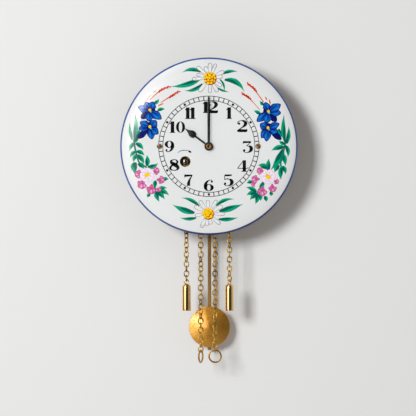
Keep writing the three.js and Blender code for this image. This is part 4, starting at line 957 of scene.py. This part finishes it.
# Leaves as root x and z, tip x and z, bow and width
LEAVES = [
    # round the top edelweiss
    (-6.9, 62.6, -22.0, 62.3, -2.2, 2.9), (-7.0, 56.8, -31.2, 50.3, 1.7, 3.9),
    (-5.5, 52.4, -20.0, 46.8, 1.9, 2.8), (10.9, 60.8, 23.8, 62.8, 1.2, 2.5),
    (13.3, 55.9, 29.5, 46.4, 3.2, 3.9), (9.3, 56.3, 12.7, 45.8, 1.6, 1.6),
    (6.9, 49.4, 16.9, 45.8, -0.8, 1.6),
    # round the bottom edelweiss
    (-8.0, -50.3, -22.8, -43.3, -1.6, 2.6), (-12.2, -56.0, -30.0, -49.4, 0.8, 4.2),
    (-10.6, -60.2, -24.0, -60.2, 0.9, 2.5), (6.1, -50.0, 20.9, -44.4, 1.9, 2.6),
    (8.9, -54.8, 28.2, -48.8, -0.3, 4.1), (8.2, -61.4, 24.2, -60.0, -0.7, 2.9),
    # by the gentians
    (-46.2, 35.8, -41.9, 39.6, -0.5, 2.5), (-43.2, 30.3, -36.9, 31.4, 0.4, 2.5),
    (46.2, 34.7, 43.0, 38.2, 0.4, 2.4), (43.6, 27.0, 37.8, 29.9, -0.3, 2.7),
    # left spray, from its top down
    (-62.6, 5.6, -61.8, 26.6, -0.7, 3.5), (-64.6, 5.6, -66.6, 19.4, 0.5, 2.5),
    (-61.0, 5.0, -58.4, 15.2, -0.6, 3.0), (-62.6, 3.2, -66.8, -3.8, -0.8, 2.7),
    (-61.5, 2.6, -55.2, -2.7, 0.9, 3.3), (-61.6, -4.2, -66.2, -9.1, -0.7, 2.7),
    (-61.0, -4.2, -54.4, -7.8, 1.1, 3.0), (-60.2, -6.8, -63.2, -13.4, -1.1, 2.9),
    (-60.0, -7.0, -54.6, -14.8, 0.8, 3.3), (-61.8, -13.4, -62.2, -23.4, -0.6, 3.8),
    (-63.2, -13.8, -64.8, -20.2, -0.4, 2.5), (-59.6, -14.6, -54.6, -19.0, 0.9, 3.5),
    (-52.0, -16.6, -52.2, -7.4, -0.5, 3.5), (-51.2, -17.2, -43.0, -14.2, -1.3, 3.4),
    (-45.2, -28.8, -44.4, -34.4, -0.4, 3.1), (-38.6, -28.0, -33.9, -27.7, 0.5, 2.8),
    (-44.7, -37.9, -41.7, -46.4, -0.6, 3.3), (-43.6, -37.6, -37.4, -44.3, 0.6, 3.5),
    (-42.8, -36.8, -33.7, -41.0, 1.0, 3.4), (-42.8, -36.2, -35.3, -35.2, 0.8, 2.8),
    (-49.6, -40.0, -51.9, -43.0, -0.3, 2.6), (-62.6, 3.4, -58.6, 7.2, 0.5, 2.6),
    # right spray, from its top down
    (63.8, 1.6, 59.2, 4.8, 0.4, 2.6), (63.8, 4.0, 63.2, 26.3, 0.9, 3.4), (65.4, 2.2, 67.2, 16.2, -0.7, 3.0),
    (58.5, 14.6, 62.3, 7.4, -0.4, 2.8), (63.2, -0.5, 52.8, -3.5, -0.9, 3.6),
    (64.8, 0.8, 66.4, -8.9, 1.0, 3.0), (62.6, -2.6, 52.4, -19.3, 1.2, 5.2),
    (61.6, -6.0, 64.3, -16.2, 0.8, 3.6), (59.0, -15.8, 55.4, -21.8, -0.6, 3.5),
    (61.9, -16.6, 64.5, -23.2, 0.7, 3.1), (61.0, -17.2, 60.6, -27.8, -0.5, 3.5),
    (50.2, -20.1, 50.6, -10.5, 0.5, 3.5), (49.2, -18.4, 41.6, -15.8, -0.8, 3.9),
    (46.4, -30.8, 42.0, -34.0, 0.5, 3.1), (36.3, -29.6, 32.1, -31.0, -0.3, 2.7),
    (40.2, -38.2, 31.4, -34.5, -0.8, 3.1), (39.8, -38.8, 31.9, -40.9, -0.7, 3.4),
    (40.4, -39.6, 34.8, -44.8, -0.4, 3.5), (41.4, -40.0, 39.2, -48.3, 0.5, 3.5),
    (42.2, -39.8, 43.2, -45.8, 0.8, 3.2), (47.2, -41.8, 48.4, -46.6, 0.3, 3.0),
    (52.4, -38.2, 52.1, -41.8, 0.3, 2.8),
]

STEMS = [
    [(-63.0, 6.0), (-62.4, 0.0), (-60.8, -7.0), (-58.4, -13.8), (-52.4, -17.8), (-49.8, -21.8)],
    [(64.2, 6.0), (63.8, 0.0), (62.2, -6.0), (60.4, -14.0), (61.2, -18.2)],
    [(48.4, -19.2), (50.4, -20.4), (51.2, -23.8)],
    [(-44.4, -29.8), (-45.8, -32.8), (-44.4, -38.4)],
    [(45.6, -29.8), (43.4, -34.8), (40.4, -39.6)],
]

TOP_PETALS = [
    (138, 14.6), (112, 10.4), (164, 11.4), (89, 12.7), (67, 13.0), (25, 13.2), (7, 10.8), (-35, 12.2),
    (-61, 13.4), (-89, 12.7), (-128, 14.6), (183, 14.8)]
BOTTOM_PETALS = [
    (90, 11.2), (123, 12.8), (56, 13.5), (27, 13.9), (-2, 14.3), (-74, 9.6), (-41, 13.9), (-95, 10.7),
    (-115, 13.2), (190, 11.1), (151, 13.0)]

# Gentians as a middle, the tube's angle and reach, and the lobes
GENTIANS = [
    (50.1, 28.8, (-50, 10.5), [
        (109, 8.4, 5.6), (219, 12.2, 6.2), (-101, 9.2, 7.0), (-4, 10.2, 6.4), (33, 11.8, 6.6)]),
    (49.8, 15.0, (-40, 14.5), [
        (235, 9.4, 5.8), (262, 10.6, 5.6), (150, 7.4, 6.4), (-22, 8.6, 6.0), (24, 10.0, 5.4)]),
    (-49.5, 30.0, (222, 10.0), [
        (-97, 8.8, 6.6), (163, 10.2, 6.2), (-36, 11.6, 6.4), (119, 8.0, 5.8), (70, 7.6, 6.6)]),
    (-49.5, 16.0, (222, 13.8), [
        (-80, 9.9, 5.8), (-38, 8.6, 6.0), (186, 9.2, 5.4), (151, 9.2, 6.0), (46, 7.4, 7.0)]),
]

# Bells of the alpine roses as a root, the angle they point at and a size
BELLS = [
    (-55.2, -23.4, 178, 1.2), (-47.9, -22.0, 20, 1.1), (-54.6, -27.8, 245, 1.4), (-44.0, -28.0, -5, 1.15),
    (-47.8, -31.8, -100, 1.4), (-44.4, -35.4, -20, 0.75), (46.5, -21.3, 165, 1.05), (42.8, -27.5, 180, 1.15),
    (39.3, -30.7, 215, 0.7), (45.6, -33.6, -100, 1.35), (53.2, -31.6, -85, 1.15), (54.4, -28.6, -25, 0.8),
]

# Grasses as lines of x, z and half width, with how many seeds
GRASSES = [
    ([(-49.7, 39.1, 0.26), (-43.8, 44.5, 0.36), (-39.5, 47.6, 0.5), (-33.0, 50.3, 0.3)], 9),
    ([(-40.3, 36.8, 0.26), (-34.9, 40.3, 0.36), (-30.2, 43.0, 0.5), (-25.2, 46.2, 0.3)], 9),
    ([(-42.7, 34.0, 0.22), (-40.4, 35.2, 0.4), (-38.0, 36.0, 0.2)], 0),
    ([(-53.2, 37.3, 0.16), (-51.2, 40.6, 0.22), (-48.8, 43.0, 0.2)], 0),
    ([(-46.9, 45.0, 0.16), (-44.6, 46.8, 0.24)], 0),
    ([(46.0, 37.2, 0.4), (40.9, 44.2, 0.3), (37.6, 48.8, 0.55), (32.6, 52.6, 0.36)], 9),
    ([(42.9, 30.6, 0.2), (36.3, 38.0, 0.28), (32.4, 41.8, 0.55), (28.1, 44.2, 0.36)], 9),
    ([(49.0, 38.7, 0.2), (48.2, 40.2, 0.4), (47.4, 41.6, 0.16)], 0),
    ([(51.7, 35.2, 0.2), (51.3, 37.4, 0.42), (50.6, 39.4, 0.16)], 0),
]

# Edelweiss as a middle, its petals, their outline, and the heads as rings with their size
EDELWEISS = [
    (0.8, 57.4, TOP_PETALS, PETAL_LINE, [(4.3, 10), (2.2, 5), (0.0, 1)], 1.2),
    (-0.8, -56.4, BOTTOM_PETALS, PETAL_FAINT, [(3.5, 8), (1.3, 3)], 1.45)]

# Open roses as a middle and a tilt
ROSES = [(-52.0, -24.0, 0.5), (49.9, -25.5, -0.6)]


def each(make, rows):
    return [part for row in rows for part in make(*row)]


def paint_dial():
    laid_on_dial("painted_leaves", each(leaf, LEAVES) + each(stem, STEMS))
    laid_on_dial("painted_edelweiss", each(edelweiss, EDELWEISS))
    laid_on_dial("painted_gentians", each(gentian, GENTIANS))
    laid_on_dial("painted_alpine_roses", each(bell, BELLS) + each(open_rose, ROSES))
    laid_on_dial("painted_grasses", each(grass, GRASSES))


BALL = "ball"
RING = "ring"

# Numerals in a box one high with x from its middle: lines of x, z and half width, balls and rings
LOWER_BOWL = [
    (0.1, 0.6, 0.04), (0.27, 0.47, 0.1), (0.3, 0.29, 0.12), (0.2, 0.1, 0.07), (0.0, 0.012, 0.022),
    (-0.2, 0.05, 0.025), (-0.3, 0.18, 0.03)]
DIGITS = {
    "0": [(RING, 0, 0.5, 0.39, 0.5, 0.145, 0.452)],
    "1": [[(0.02, 0.0, 0.118), (0.02, 0.5, 0.115), (0.02, 1.0, 0.118)],
          [(-0.22, 0.018, 0.018), (0.26, 0.018, 0.018)],
          [(0.0, 0.97, 0.03), (-0.12, 0.85, 0.035), (-0.24, 0.78, 0.012)]],
    "2": [[(-0.3, 0.7, 0.03), (-0.26, 0.88, 0.03), (-0.04, 0.985, 0.022), (0.2, 0.9, 0.085),
           (0.28, 0.72, 0.115), (0.17, 0.5, 0.07), (-0.06, 0.32, 0.03), (-0.3, 0.13, 0.03)],
          [(-0.34, 0.06, 0.055), (-0.14, 0.1, 0.1), (0.12, 0.09, 0.092), (0.32, 0.1, 0.09),
           (0.37, 0.24, 0.02)],
          (BALL, -0.2, 0.71, 0.105)],
    "3": [[(-0.28, 0.93, 0.07), (0.0, 0.93, 0.062), (0.28, 0.94, 0.06)],
          [(-0.28, 0.98, 0.02), (-0.3, 0.78, 0.012)],
          [(0.26, 0.93, 0.04), (0.1, 0.74, 0.025), (-0.04, 0.6, 0.02), (0.06, 0.605, 0.025)],
          LOWER_BOWL, (BALL, -0.21, 0.2, 0.105)],
    "4": [[(0.12, 0.0, 0.11), (0.12, 0.5, 0.11), (0.12, 1.0, 0.11)],
          [(0.06, 0.97, 0.02), (-0.15, 0.65, 0.02), (-0.37, 0.3, 0.02)],
          [(-0.39, 0.29, 0.022), (0.3, 0.29, 0.022), (0.4, 0.36, 0.03)],
          [(-0.1, 0.018, 0.018), (0.34, 0.018, 0.018)]],
    "5": [[(-0.24, 0.94, 0.055), (0.0, 0.93, 0.062), (0.3, 0.96, 0.045)],
          [(-0.24, 0.96, 0.02), (-0.25, 0.54, 0.02)],
          [(-0.25, 0.54, 0.02), (-0.12, 0.61, 0.03), (0.06, 0.62, 0.04)],
          LOWER_BOWL, (BALL, -0.21, 0.2, 0.105)],
    "6": [(RING, 0.0, 0.315, 0.365, 0.315, 0.125, 0.262),
          [(-0.25, 0.3, 0.1), (-0.25, 0.55, 0.105), (-0.15, 0.8, 0.07), (0.02, 0.95, 0.03),
           (0.18, 0.97, 0.022), (0.29, 0.86, 0.02)],
          (BALL, 0.22, 0.83, 0.09)],
    "7": [[(-0.31, 0.9, 0.078), (-0.1, 0.915, 0.068), (0.1, 0.92, 0.06), (0.3, 0.955, 0.036)],
          [(-0.32, 1.0, 0.014), (-0.31, 0.74, 0.016)],
          [(0.3, 0.95, 0.025), (0.14, 0.66, 0.05), (0.03, 0.38, 0.085), (0.0, 0.16, 0.104),
           (0.0, 0.0, 0.11)]],
    "8": [[(0.16, 0.93, 0.035), (-0.02, 0.975, 0.025), (-0.22, 0.87, 0.06), (-0.2, 0.7, 0.1),
           (0.0, 0.55, 0.125), (0.2, 0.4, 0.12), (0.28, 0.22, 0.09), (0.16, 0.06, 0.04),
           (-0.02, 0.025, 0.025)],
          [(0.0, 0.025, 0.022), (-0.17, 0.055, 0.036), (-0.275, 0.15, 0.062), (-0.28, 0.27, 0.07),
           (-0.2, 0.41, 0.058), (0.0, 0.54, 0.05), (0.19, 0.66, 0.06), (0.23, 0.8, 0.065),
           (0.14, 0.93, 0.04)]],
}
PAIR_SPACING = {"1": (0.05,), "10": (-0.37, 0.36), "11": (-0.12, 0.32), "12": (-0.3, 0.31)}
DIGIT_WIDTH = {"0": 1.03, "1": 1.0, "5": 1.15, "7": 1.1, "9": 1.14}
BOLDER = 1.36
HAIRLINE = 0.032

# How far each hour's numeral stands off its place on the circle
NUMERAL_SHIFT = {
    1: (0.0, -0.5), 2: (-0.8, 0.6), 3: (-0.7, -0.5), 5: (-0.4, 0.0), 7: (-0.6, 0.0), 8: (-0.6, 0.8),
    9: (-0.3, 0.0), 10: (-0.2, 0.6), 11: (-0.3, -0.6)}


def numeral(text, x, z):
    size = NUMERAL_HEIGHT
    for digit, shift in zip(text, PAIR_SPACING.get(text, (0.0,))):
        flip = -1 if digit == "9" else 1
        wide = DIGIT_WIDTH.get(digit, 1.2)

        def at(px, pz):
            return x + (shift + flip * px * wide) * size, z + flip * (pz - 0.5) * size

        for item in DIGITS["6" if digit == "9" else digit]:
            if item[0] == RING:
                outer, inner = [(item[i] * wide * size, item[i + 1] * size) for i in (3, 5)]
                yield ring(*at(*item[1:3]), outer, inner, PRINT_BLACK)
            elif item[0] == BALL:
                yield spot(*at(*item[1:3]), item[3] * size, 0, 16, PRINT_BLACK)
            else:
                line = [(*at(px, pz), max(half * BOLDER, HAIRLINE) * size) for px, pz, half in item]
                yield stroke(line, 0, 6 * len(line), 2, PRINT_BLACK)


def print_dial():
    parts = []
    for hour in range(1, 13):
        dx, dz = way(QUARTER - TURN * hour / 12)
        reach = TEN_CIRCLE if hour == 10 else NUMERAL_CIRCLE
        aside, up = NUMERAL_SHIFT.get(hour, (0.0, 0.0))
        parts += numeral(str(hour), reach * dx + aside, reach * dz + up)
    laid_on_dial("dial_numerals", parts)
    half = TRACK_LINE / 2
    middle = (TRACK_INNER + TRACK_OUTER) / 2
    parts = [
        ring(0, 0, (r + half, r + half), (r - half, r - half), PRINT_GREY, 180)
        for r in (TRACK_INNER, TRACK_OUTER)]
    for minute in range(60):
        dx, dz = way(TURN * minute / 60)
        if minute % 5:
            tick = [(dx * r, dz * r, TICK_LINE / 2) for r in (TRACK_INNER, TRACK_OUTER)]
            parts.append(stroke(tick, 0, 2, 1, PRINT_GREY))
        elif minute % 30:
            parts.append(spot(dx * middle, dz * middle, HOUR_DOT, 1, 20, PRINT_BLACK))
    parts.append(stroke(ARROW_LINE, 0, 16, 1, PRINT_BLACK))
    parts.append(stroke(ARROW_HEAD, 1, 8, 2, PRINT_BLACK))
    laid_on_dial("minute_track", parts)


# Hands

def bezier(a, b, c, d, steps):
    return [
        tuple((1 - t) ** 3 * p + 3 * (1 - t) ** 2 * t * q + 3 * (1 - t) * t * t * r + t ** 3 * s
              for p, q, r, s in zip(a, b, c, d))
        for t in (i / steps for i in range(1, steps + 1))]


def hand_outline(half):
    """Closes half a blade into an outline with the round hub at its foot."""
    start = math.asin(half[0][0] / HUB_RADIUS)
    span = TURN - 2 * start
    hub = [way(start + span * i / HUB_STEPS) for i in range(HUB_STEPS + 1)]
    left = [(-x, z) for x, z in half[1:]]
    return [*((HUB_RADIUS * sin, HUB_RADIUS * cos) for cos, sin in hub), *left, *reversed(half[1:])]


def make_hands():
    hour_half = list(HOUR_STALK)
    for curve in HOUR_CURVES:
        hour_half += bezier(*curve)
    for name, half, turn, depth, bore in (
            ("hour_hand", hour_half, HOUR_TURN, HOUR_DEPTH, HOUR_BORE),
            ("minute_hand", MINUTE_HALF, 0.0, MINUTE_DEPTH, MINUTE_BORE)):
        cos, sin = way(turn)
        outline = [(x * cos - z * sin, x * sin + z * cos) for x, z in hand_outline(half)]
        piece = sheet_cut(f"{name}_blade", outline, depth, HAND_SHEET)
        bored(piece, drill(0, depth, 0, bore, 4 * HAND_SHEET))
        smoothed(rounded(piece, HAND_EDGE), 30)
        fitted(piece, f"{name}_group", "blued_steel", BLUED, name)
    base = MINUTE_DEPTH + HAND_SHEET
    nut = turned("turned_hand_nut", [(radius, base + rise) for radius, rise in NUT_PROFILE], steps=48)
    fitted(smoothed(nut), "minute_hand_group", "polished_brass", NUT_BRASS, "hand_nut")


def make_dial_screws():
    dome = [(SCREW_HEAD * math.sin(0.2 * i), SCREW_RIM + SCREW_DOME * math.cos(0.2 * i)) for i in range(1, 8)]
    head = [(radius, DIAL_FRONT + rise) for radius, rise in [(0.0, SCREW_TOP), *dome, *SCREW_FOOT]]
    for side, x, turn in (("left", -DIAL_SCREW_X, 0.05), ("right", DIAL_SCREW_X, 0.8)):
        piece = turned(f"slotted_screw_{side}", head, x, steps=40)
        bored(piece, slab(x, DIAL_FRONT + SCREW_TOP, 0, SLOT_LENGTH, SLOT_CUT, SLOT_WIDTH, turn))
        middle = Vector((x * MM, 0, 0))
        across = Vector((math.sin(turn), 0, math.cos(turn)))
        # The slot's floor and walls get the painted shade
        painted(piece, SCREW_BRASS, SLOT_SHADE, lambda place, normal: (
            place.y < -(DIAL_FRONT + SLOT_FLOOR) * MM
            and abs((place - middle).dot(across)) < 0.52 * SLOT_WIDTH * MM))
        smoothed(piece, 30)
        fitted(piece, "case", "polished_brass", SCREW_BRASS, f"dial_screw_{side}")


# Chains, weights and rings

def chain_link():
    """One oval link of round wire, in the plane of x and z."""
    wire = LINK_WIRE / 2
    piece = primitive(
        bpy.ops.mesh.primitive_torus_add, major_radius=(LINK_WIDTH / 2 - wire) * MM, minor_radius=wire * MM,
        major_segments=LINK_STEPS, minor_segments=10, rotation=(QUARTER, 0, math.pi / LINK_STEPS))
    stretch = (LINK_LENGTH - LINK_WIDTH) / 2 * MM
    edit(piece)
    for side in (-1, 1):
        pick(lambda place: place.z * side > 0)
        bpy.ops.transform.translate(value=(0, 0, side * stretch))
    leave()
    return smoothed(piece, 60)


def twist_at(stops, share):
    place = share * (len(stops) - 1)
    before = min(int(place), len(stops) - 2)
    return stops[before] + (stops[before + 1] - stops[before]) * (place - before)


def make_chains():
    link = chain_link()
    for node, x, count, twist in CHAIN_RUNS:
        links = []
        for i in range(count):
            copy = own_copy(link)
            copy.location = here(x, CHAIN_DEPTH, FIRST_LINK - i * LINK_PITCH)
            copy.rotation_euler.z = i * QUARTER + twist_at(twist, i / (count - 1))
            links.append(settled(copy))
        piece = joined(node.replace("chain", "links"), links)
        fitted(piece, f"{node}_run", "chain_brass", CHAIN, node)
        kind, _, side = node.split("_")
        make_end = make_weight if kind == "weight" else make_pull_ring
        make_end(side, x, twist[-1])
    dropped(link)


def make_weight(side, x, twist):
    foot = [way(math.pi / 8 * i) for i in range(5)]
    shoulder = [way(math.pi / 20 * i) for i in range(11)]
    profile = [(radius, WEIGHT_BOTTOM + rise) for radius, rise in WEIGHT_DISH]
    profile += [
        (WEIGHT_RADIUS - WEIGHT_FOOT * (1 - sin), WEIGHT_BOTTOM + WEIGHT_FOOT * (1 - cos))
        for cos, sin in foot]
    profile += [
        (WEIGHT_RADIUS - WEIGHT_SHOULDER * (1 - cos), WEIGHT_TOP - WEIGHT_SHOULDER * (1 - sin))
        for cos, sin in shoulder]
    profile += [(radius, WEIGHT_TOP + rise) for radius, rise in WEIGHT_CROWN]
    body = turned("weight_body", profile, x, CHAIN_DEPTH, upright=True)
    eye = wire_ring(x, WEIGHT_TOP + WEIGHT_EYE, WEIGHT_EYE, EYE_WIRE, QUARTER + twist, 32, 12)
    piece = smoothed(joined(f"brass_weight_{side}", [body, eye]), 40)
    fitted(piece, f"weight_{side}_hanging", "polished_brass", POLISHED, f"weight_{side}")


def make_pull_ring(side, x, twist):
    piece = named(wire_ring(x, RING_CENTRE, RING_RADIUS, RING_WIRE, 0.0, 64, 16), f"brass_ring_{side}")
    cos, sin = way(RING_GAP_ANGLE)
    bored(piece, slab(
        x + RING_RADIUS * cos, CHAIN_DEPTH, RING_CENTRE + RING_RADIUS * sin, 4 * RING_WIRE, 4 * RING_WIRE,
        RING_GAP, -RING_GAP_ANGLE))
    edit(piece)
    bpy.ops.transform.rotate(value=-twist, orient_axis="Z", center_override=here(x, CHAIN_DEPTH, RING_CENTRE))
    leave()
    smoothed(piece, 40)
    fitted(piece, f"pull_ring_{side}_hanging", "polished_brass", RING_BRASS, f"pull_ring_{side}")


# Pendulum

def make_pendulum():
    rim = BOB_BACK + BOB_EDGE
    tip = rim + BOB_RISE
    profile = [
        (0.0, BOB_BACK), (BOB_RADIUS - BOB_CHAMFER, BOB_BACK), (BOB_RADIUS, BOB_BACK + BOB_CHAMFER),
        (BOB_RADIUS, rim), *((BOB_RADIUS - inset, rim + rise) for inset, rise in BOB_SHOULDER),
        *((BOB_TIP * share, tip - BOB_TIP_FALL * share ** 2) for share in (1.0, 0.8, 0.6, 0.4, 0.2, 0.0))]
    cone = turned("bob_cone", profile, z=BOB_CENTRE, steps=96)
    strap, opening = [slab(0, depth, BOB_CENTRE, *size) for depth, *size in (STRAP, STRAP_OPENING)]
    rounded(bored(strap, opening), STRAP_EDGE, 2)
    piece = smoothed(joined("conical_bob", [cone, strap]), 40)
    fitted(piece, "pendulum", "satin_brass", SATIN, "pendulum_bob")
    low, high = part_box("pendulum_rod")
    middle = (low + high) / 2 / MM
    size = (high - low) / MM
    stick = named(slab(middle.x, -middle.y, middle.z, size.x, size.y, size.z), "wooden_rod")
    smoothed(rounded(stick, ROD_EDGE, 4), 30)
    fitted(stick, "pendulum", "rod_wood", ROD_WOOD, "pendulum_rod")


# Case and movement: merged copies of the solids, with the edges of some of them broken

BODY_OF = {
    node: body for body, nodes in frame["record"]["behaviour"]["bodies"].items() for node in nodes}
SLOT_OF = {node: piece.data.materials[0].name for node, piece in frame["nodes"].items()}


def edged(node, finish, width):
    """A merged copy of a node, with its edges broken where a width is given, which stands for it."""
    copy = named(own_copy(frame["nodes"][node]), f"{node}_finished")
    for key in list(copy.keys()):
        if key.startswith("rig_"):
            del copy[key]
    copy.parent = None
    copy.data.materials.clear()
    edit(copy)
    weld()
    bpy.ops.mesh.dissolve_limited(angle_limit=math.radians(1))
    leave()
    if width:
        rounded(copy, width, degrees=35)
    smoothed(copy)
    return fitted(copy, BODY_OF[node], SLOT_OF[node], finish, node)


def make_case():
    for node in ("case_left_side", "case_right_side", "case_back_board"):
        edged(node, CASE_UPRIGHT, BOARD_EDGE)
    for node in ("case_top_board", "case_bottom_board"):
        edged(node, CASE_LEVEL, BOARD_EDGE)


def dome_end(piece):
    """Rounds the winding square's front over, as the file leaves it."""
    front = min(vertex.co.y for vertex in piece.data.vertices)
    edit(piece)
    pick(lambda middle, normal: normal.y < -0.99 and middle.y < front + 0.01 * MM, "FACE")
    bpy.ops.mesh.subdivide(number_cuts=DOME_CUTS)
    leave()
    for vertex in piece.data.vertices:
        if vertex.co.y < front + WELD:
            reach = math.hypot(vertex.co.x - KEY_HOLE[0] * MM, vertex.co.z - KEY_HOLE[1] * MM)
            vertex.co.y = front + reach ** 2 / (2 * DOME_END * MM)
    smoothed(merged(piece))


def make_movement():
    done = {node for piece in bpy.context.scene.objects for node in piece.get("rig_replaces", [])}
    finishes = {"steel": STEEL, "blued_steel": BLUED, "movement_brass": ROLLED}
    # The front plate gets the darker brass as painted shade inside the key hole
    own = {"winding_arbor": DARK_STEEL, "movement_front_plate": SHADED_PLATE_BRASS}
    for node in sorted(set(frame["nodes"]) - done):
        finish = own.get(node, finishes[SLOT_OF[node]])
        copy = edged(node, finish, BROKEN_EDGES.get(node))
        if node == "winding_arbor":
            dome_end(copy)


# Stage

def one_sided(finish, colour):
    """A dull surface that is clear from behind, so that no view is blocked by the stage."""
    shader = finish.add("ShaderNodeBsdfDiffuse", None, {"Color": colour})
    clear = finish.add("ShaderNodeBsdfTransparent")
    behind = finish.add("ShaderNodeNewGeometry", out=6)
    seen = finish.add("ShaderNodeMixShader", None, {0: behind, 1: shader, 2: clear})
    finish.add("ShaderNodeOutputMaterial", None, {"Surface": seen})
    return finish.material


def make_stage():
    only()
    bpy.ops.mesh.primitive_plane_add(size=STAGE_SIZE, location=(0, WALL_GAP, 0), rotation=(QUARTER, 0, 0))
    wall = named(bpy.context.object, "wall")
    wall.data.materials.append(one_sided(Finish("wall_white"), tone(231, 231, 230)))
    wall.visible_diffuse = False
    wall.visible_shadow = False
    only()
    bpy.ops.mesh.primitive_plane_add(size=STAGE_SIZE, location=(0, 0, FLOOR_HEIGHT))
    floor = named(bpy.context.object, "floor")
    pale = Finish("floor_pale")
    cloud = pale.mix(pale.noise(3, 2), tone(222, 221, 219), tone(228, 227, 226))
    floor.data.materials.append(one_sided(pale, cloud))
    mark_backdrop(wall, floor)


def stood(data, place, aim):
    """A lamp or camera at a place, aimed at a point."""
    made = bpy.data.objects.new(data.name, data)
    bpy.context.scene.collection.objects.link(made)
    made.location = place
    made.rotation_euler = (Vector(aim) - Vector(place)).to_track_quat("-Z", "Y").to_euler()
    return made


def make_camera():
    data = bpy.data.cameras.new("front")
    data.sensor_width = SENSOR
    data.lens = SENSOR * (CAMERA_DISTANCE - ROLL_DEPTH) / FRAME_WIDTH
    place = here(CAMERA_PLACE[0], CAMERA_DISTANCE, CAMERA_PLACE[1])
    bpy.context.scene.camera = stood(data, place, here(FRAME_MIDDLE[0], ROLL_DEPTH, FRAME_MIDDLE[1]))


def light_stage():
    """A soft box from the upper left, split in two lamps, and a studio with dark sides for reflections."""
    for name, power in KEY_POWER.items():
        data = bpy.data.lights.new(name, "AREA")
        data.size, data.energy, data.color = KEY_SIZE, power, KEY_COLOUR
        stood(data, KEY_PLACE, KEY_AIM).visible_glossy = False
    world = bpy.data.worlds.new("studio")
    bpy.context.scene.world = world
    world.use_nodes = True
    sky = Finish("studio", world.node_tree)
    x, y, z = sky.axes(DIRECTION)

    side = sky.maths("ARCTAN2", x, y * -1.0) * (180 / math.pi)
    height = sky.maths("ARCSINE", z) * (180 / math.pi)

    def band(value, low, high, soft):
        """A strip of the studio between two bearings or heights, in degrees."""
        return sky.ramp(value, low - soft, low + soft) * sky.ramp(value, high + soft, high - soft)

    dark = band(side, -12, 54, 4) + band(side, -94, -62, 3)
    shine = 0.5 - 0.44 * dark + 2.2 * band(side, -52, -20, 4)
    shine = shine * sky.ramp(z, -0.8, 0.3, 0.5, 1.0) + 15.0 * band(side, -26, -13, 4) * band(height, 3, 13, 4)
    fill = sky.maths("MAXIMUM", sky.ramp(z, -0.9, 0.9, 0.13, 0.38), sky.ramp(y, 0.1, 0.9, 0.0, 0.5))
    path = sky.outs("ShaderNodeLightPath")
    level = sky.level(path[0], sky.level(path[3], fill, shine), 0.82)
    shader = sky.add("ShaderNodeBackground", None, {"Color": (1, 0.96, 0.92, 1), "Strength": level})
    sky.add("ShaderNodeOutputWorld", None, {"Surface": shader})
    bpy.context.scene.view_settings.view_transform = "Standard"


def spare_hand_shadows():
    """Most of the key light casts no shadow of the hands, which in the photo is faint."""
    spared = bpy.data.collections.new("cast_no_hard_shadow")
    for name in ("hour_hand_blade", "minute_hand_blade"):
        spared.objects.link(bpy.data.objects[name])
    for row in spared.collection_objects:
        row.light_linking.link_state = "EXCLUDE"
    bpy.data.objects["soft_box_clear_of_hands"].light_linking.blocker_collection = spared


make_camera()
make_stage()
light_stage()
make_dial()
print_dial()
paint_dial()
make_hands()
spare_hand_shadows()
make_dial_screws()
make_chains()
make_pendulum()
make_case()
make_movement()

boxes = {"cad": cad_box, "visual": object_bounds()}
{key: [list(low), list(high)] for key, (low, high) in boxes.items()}
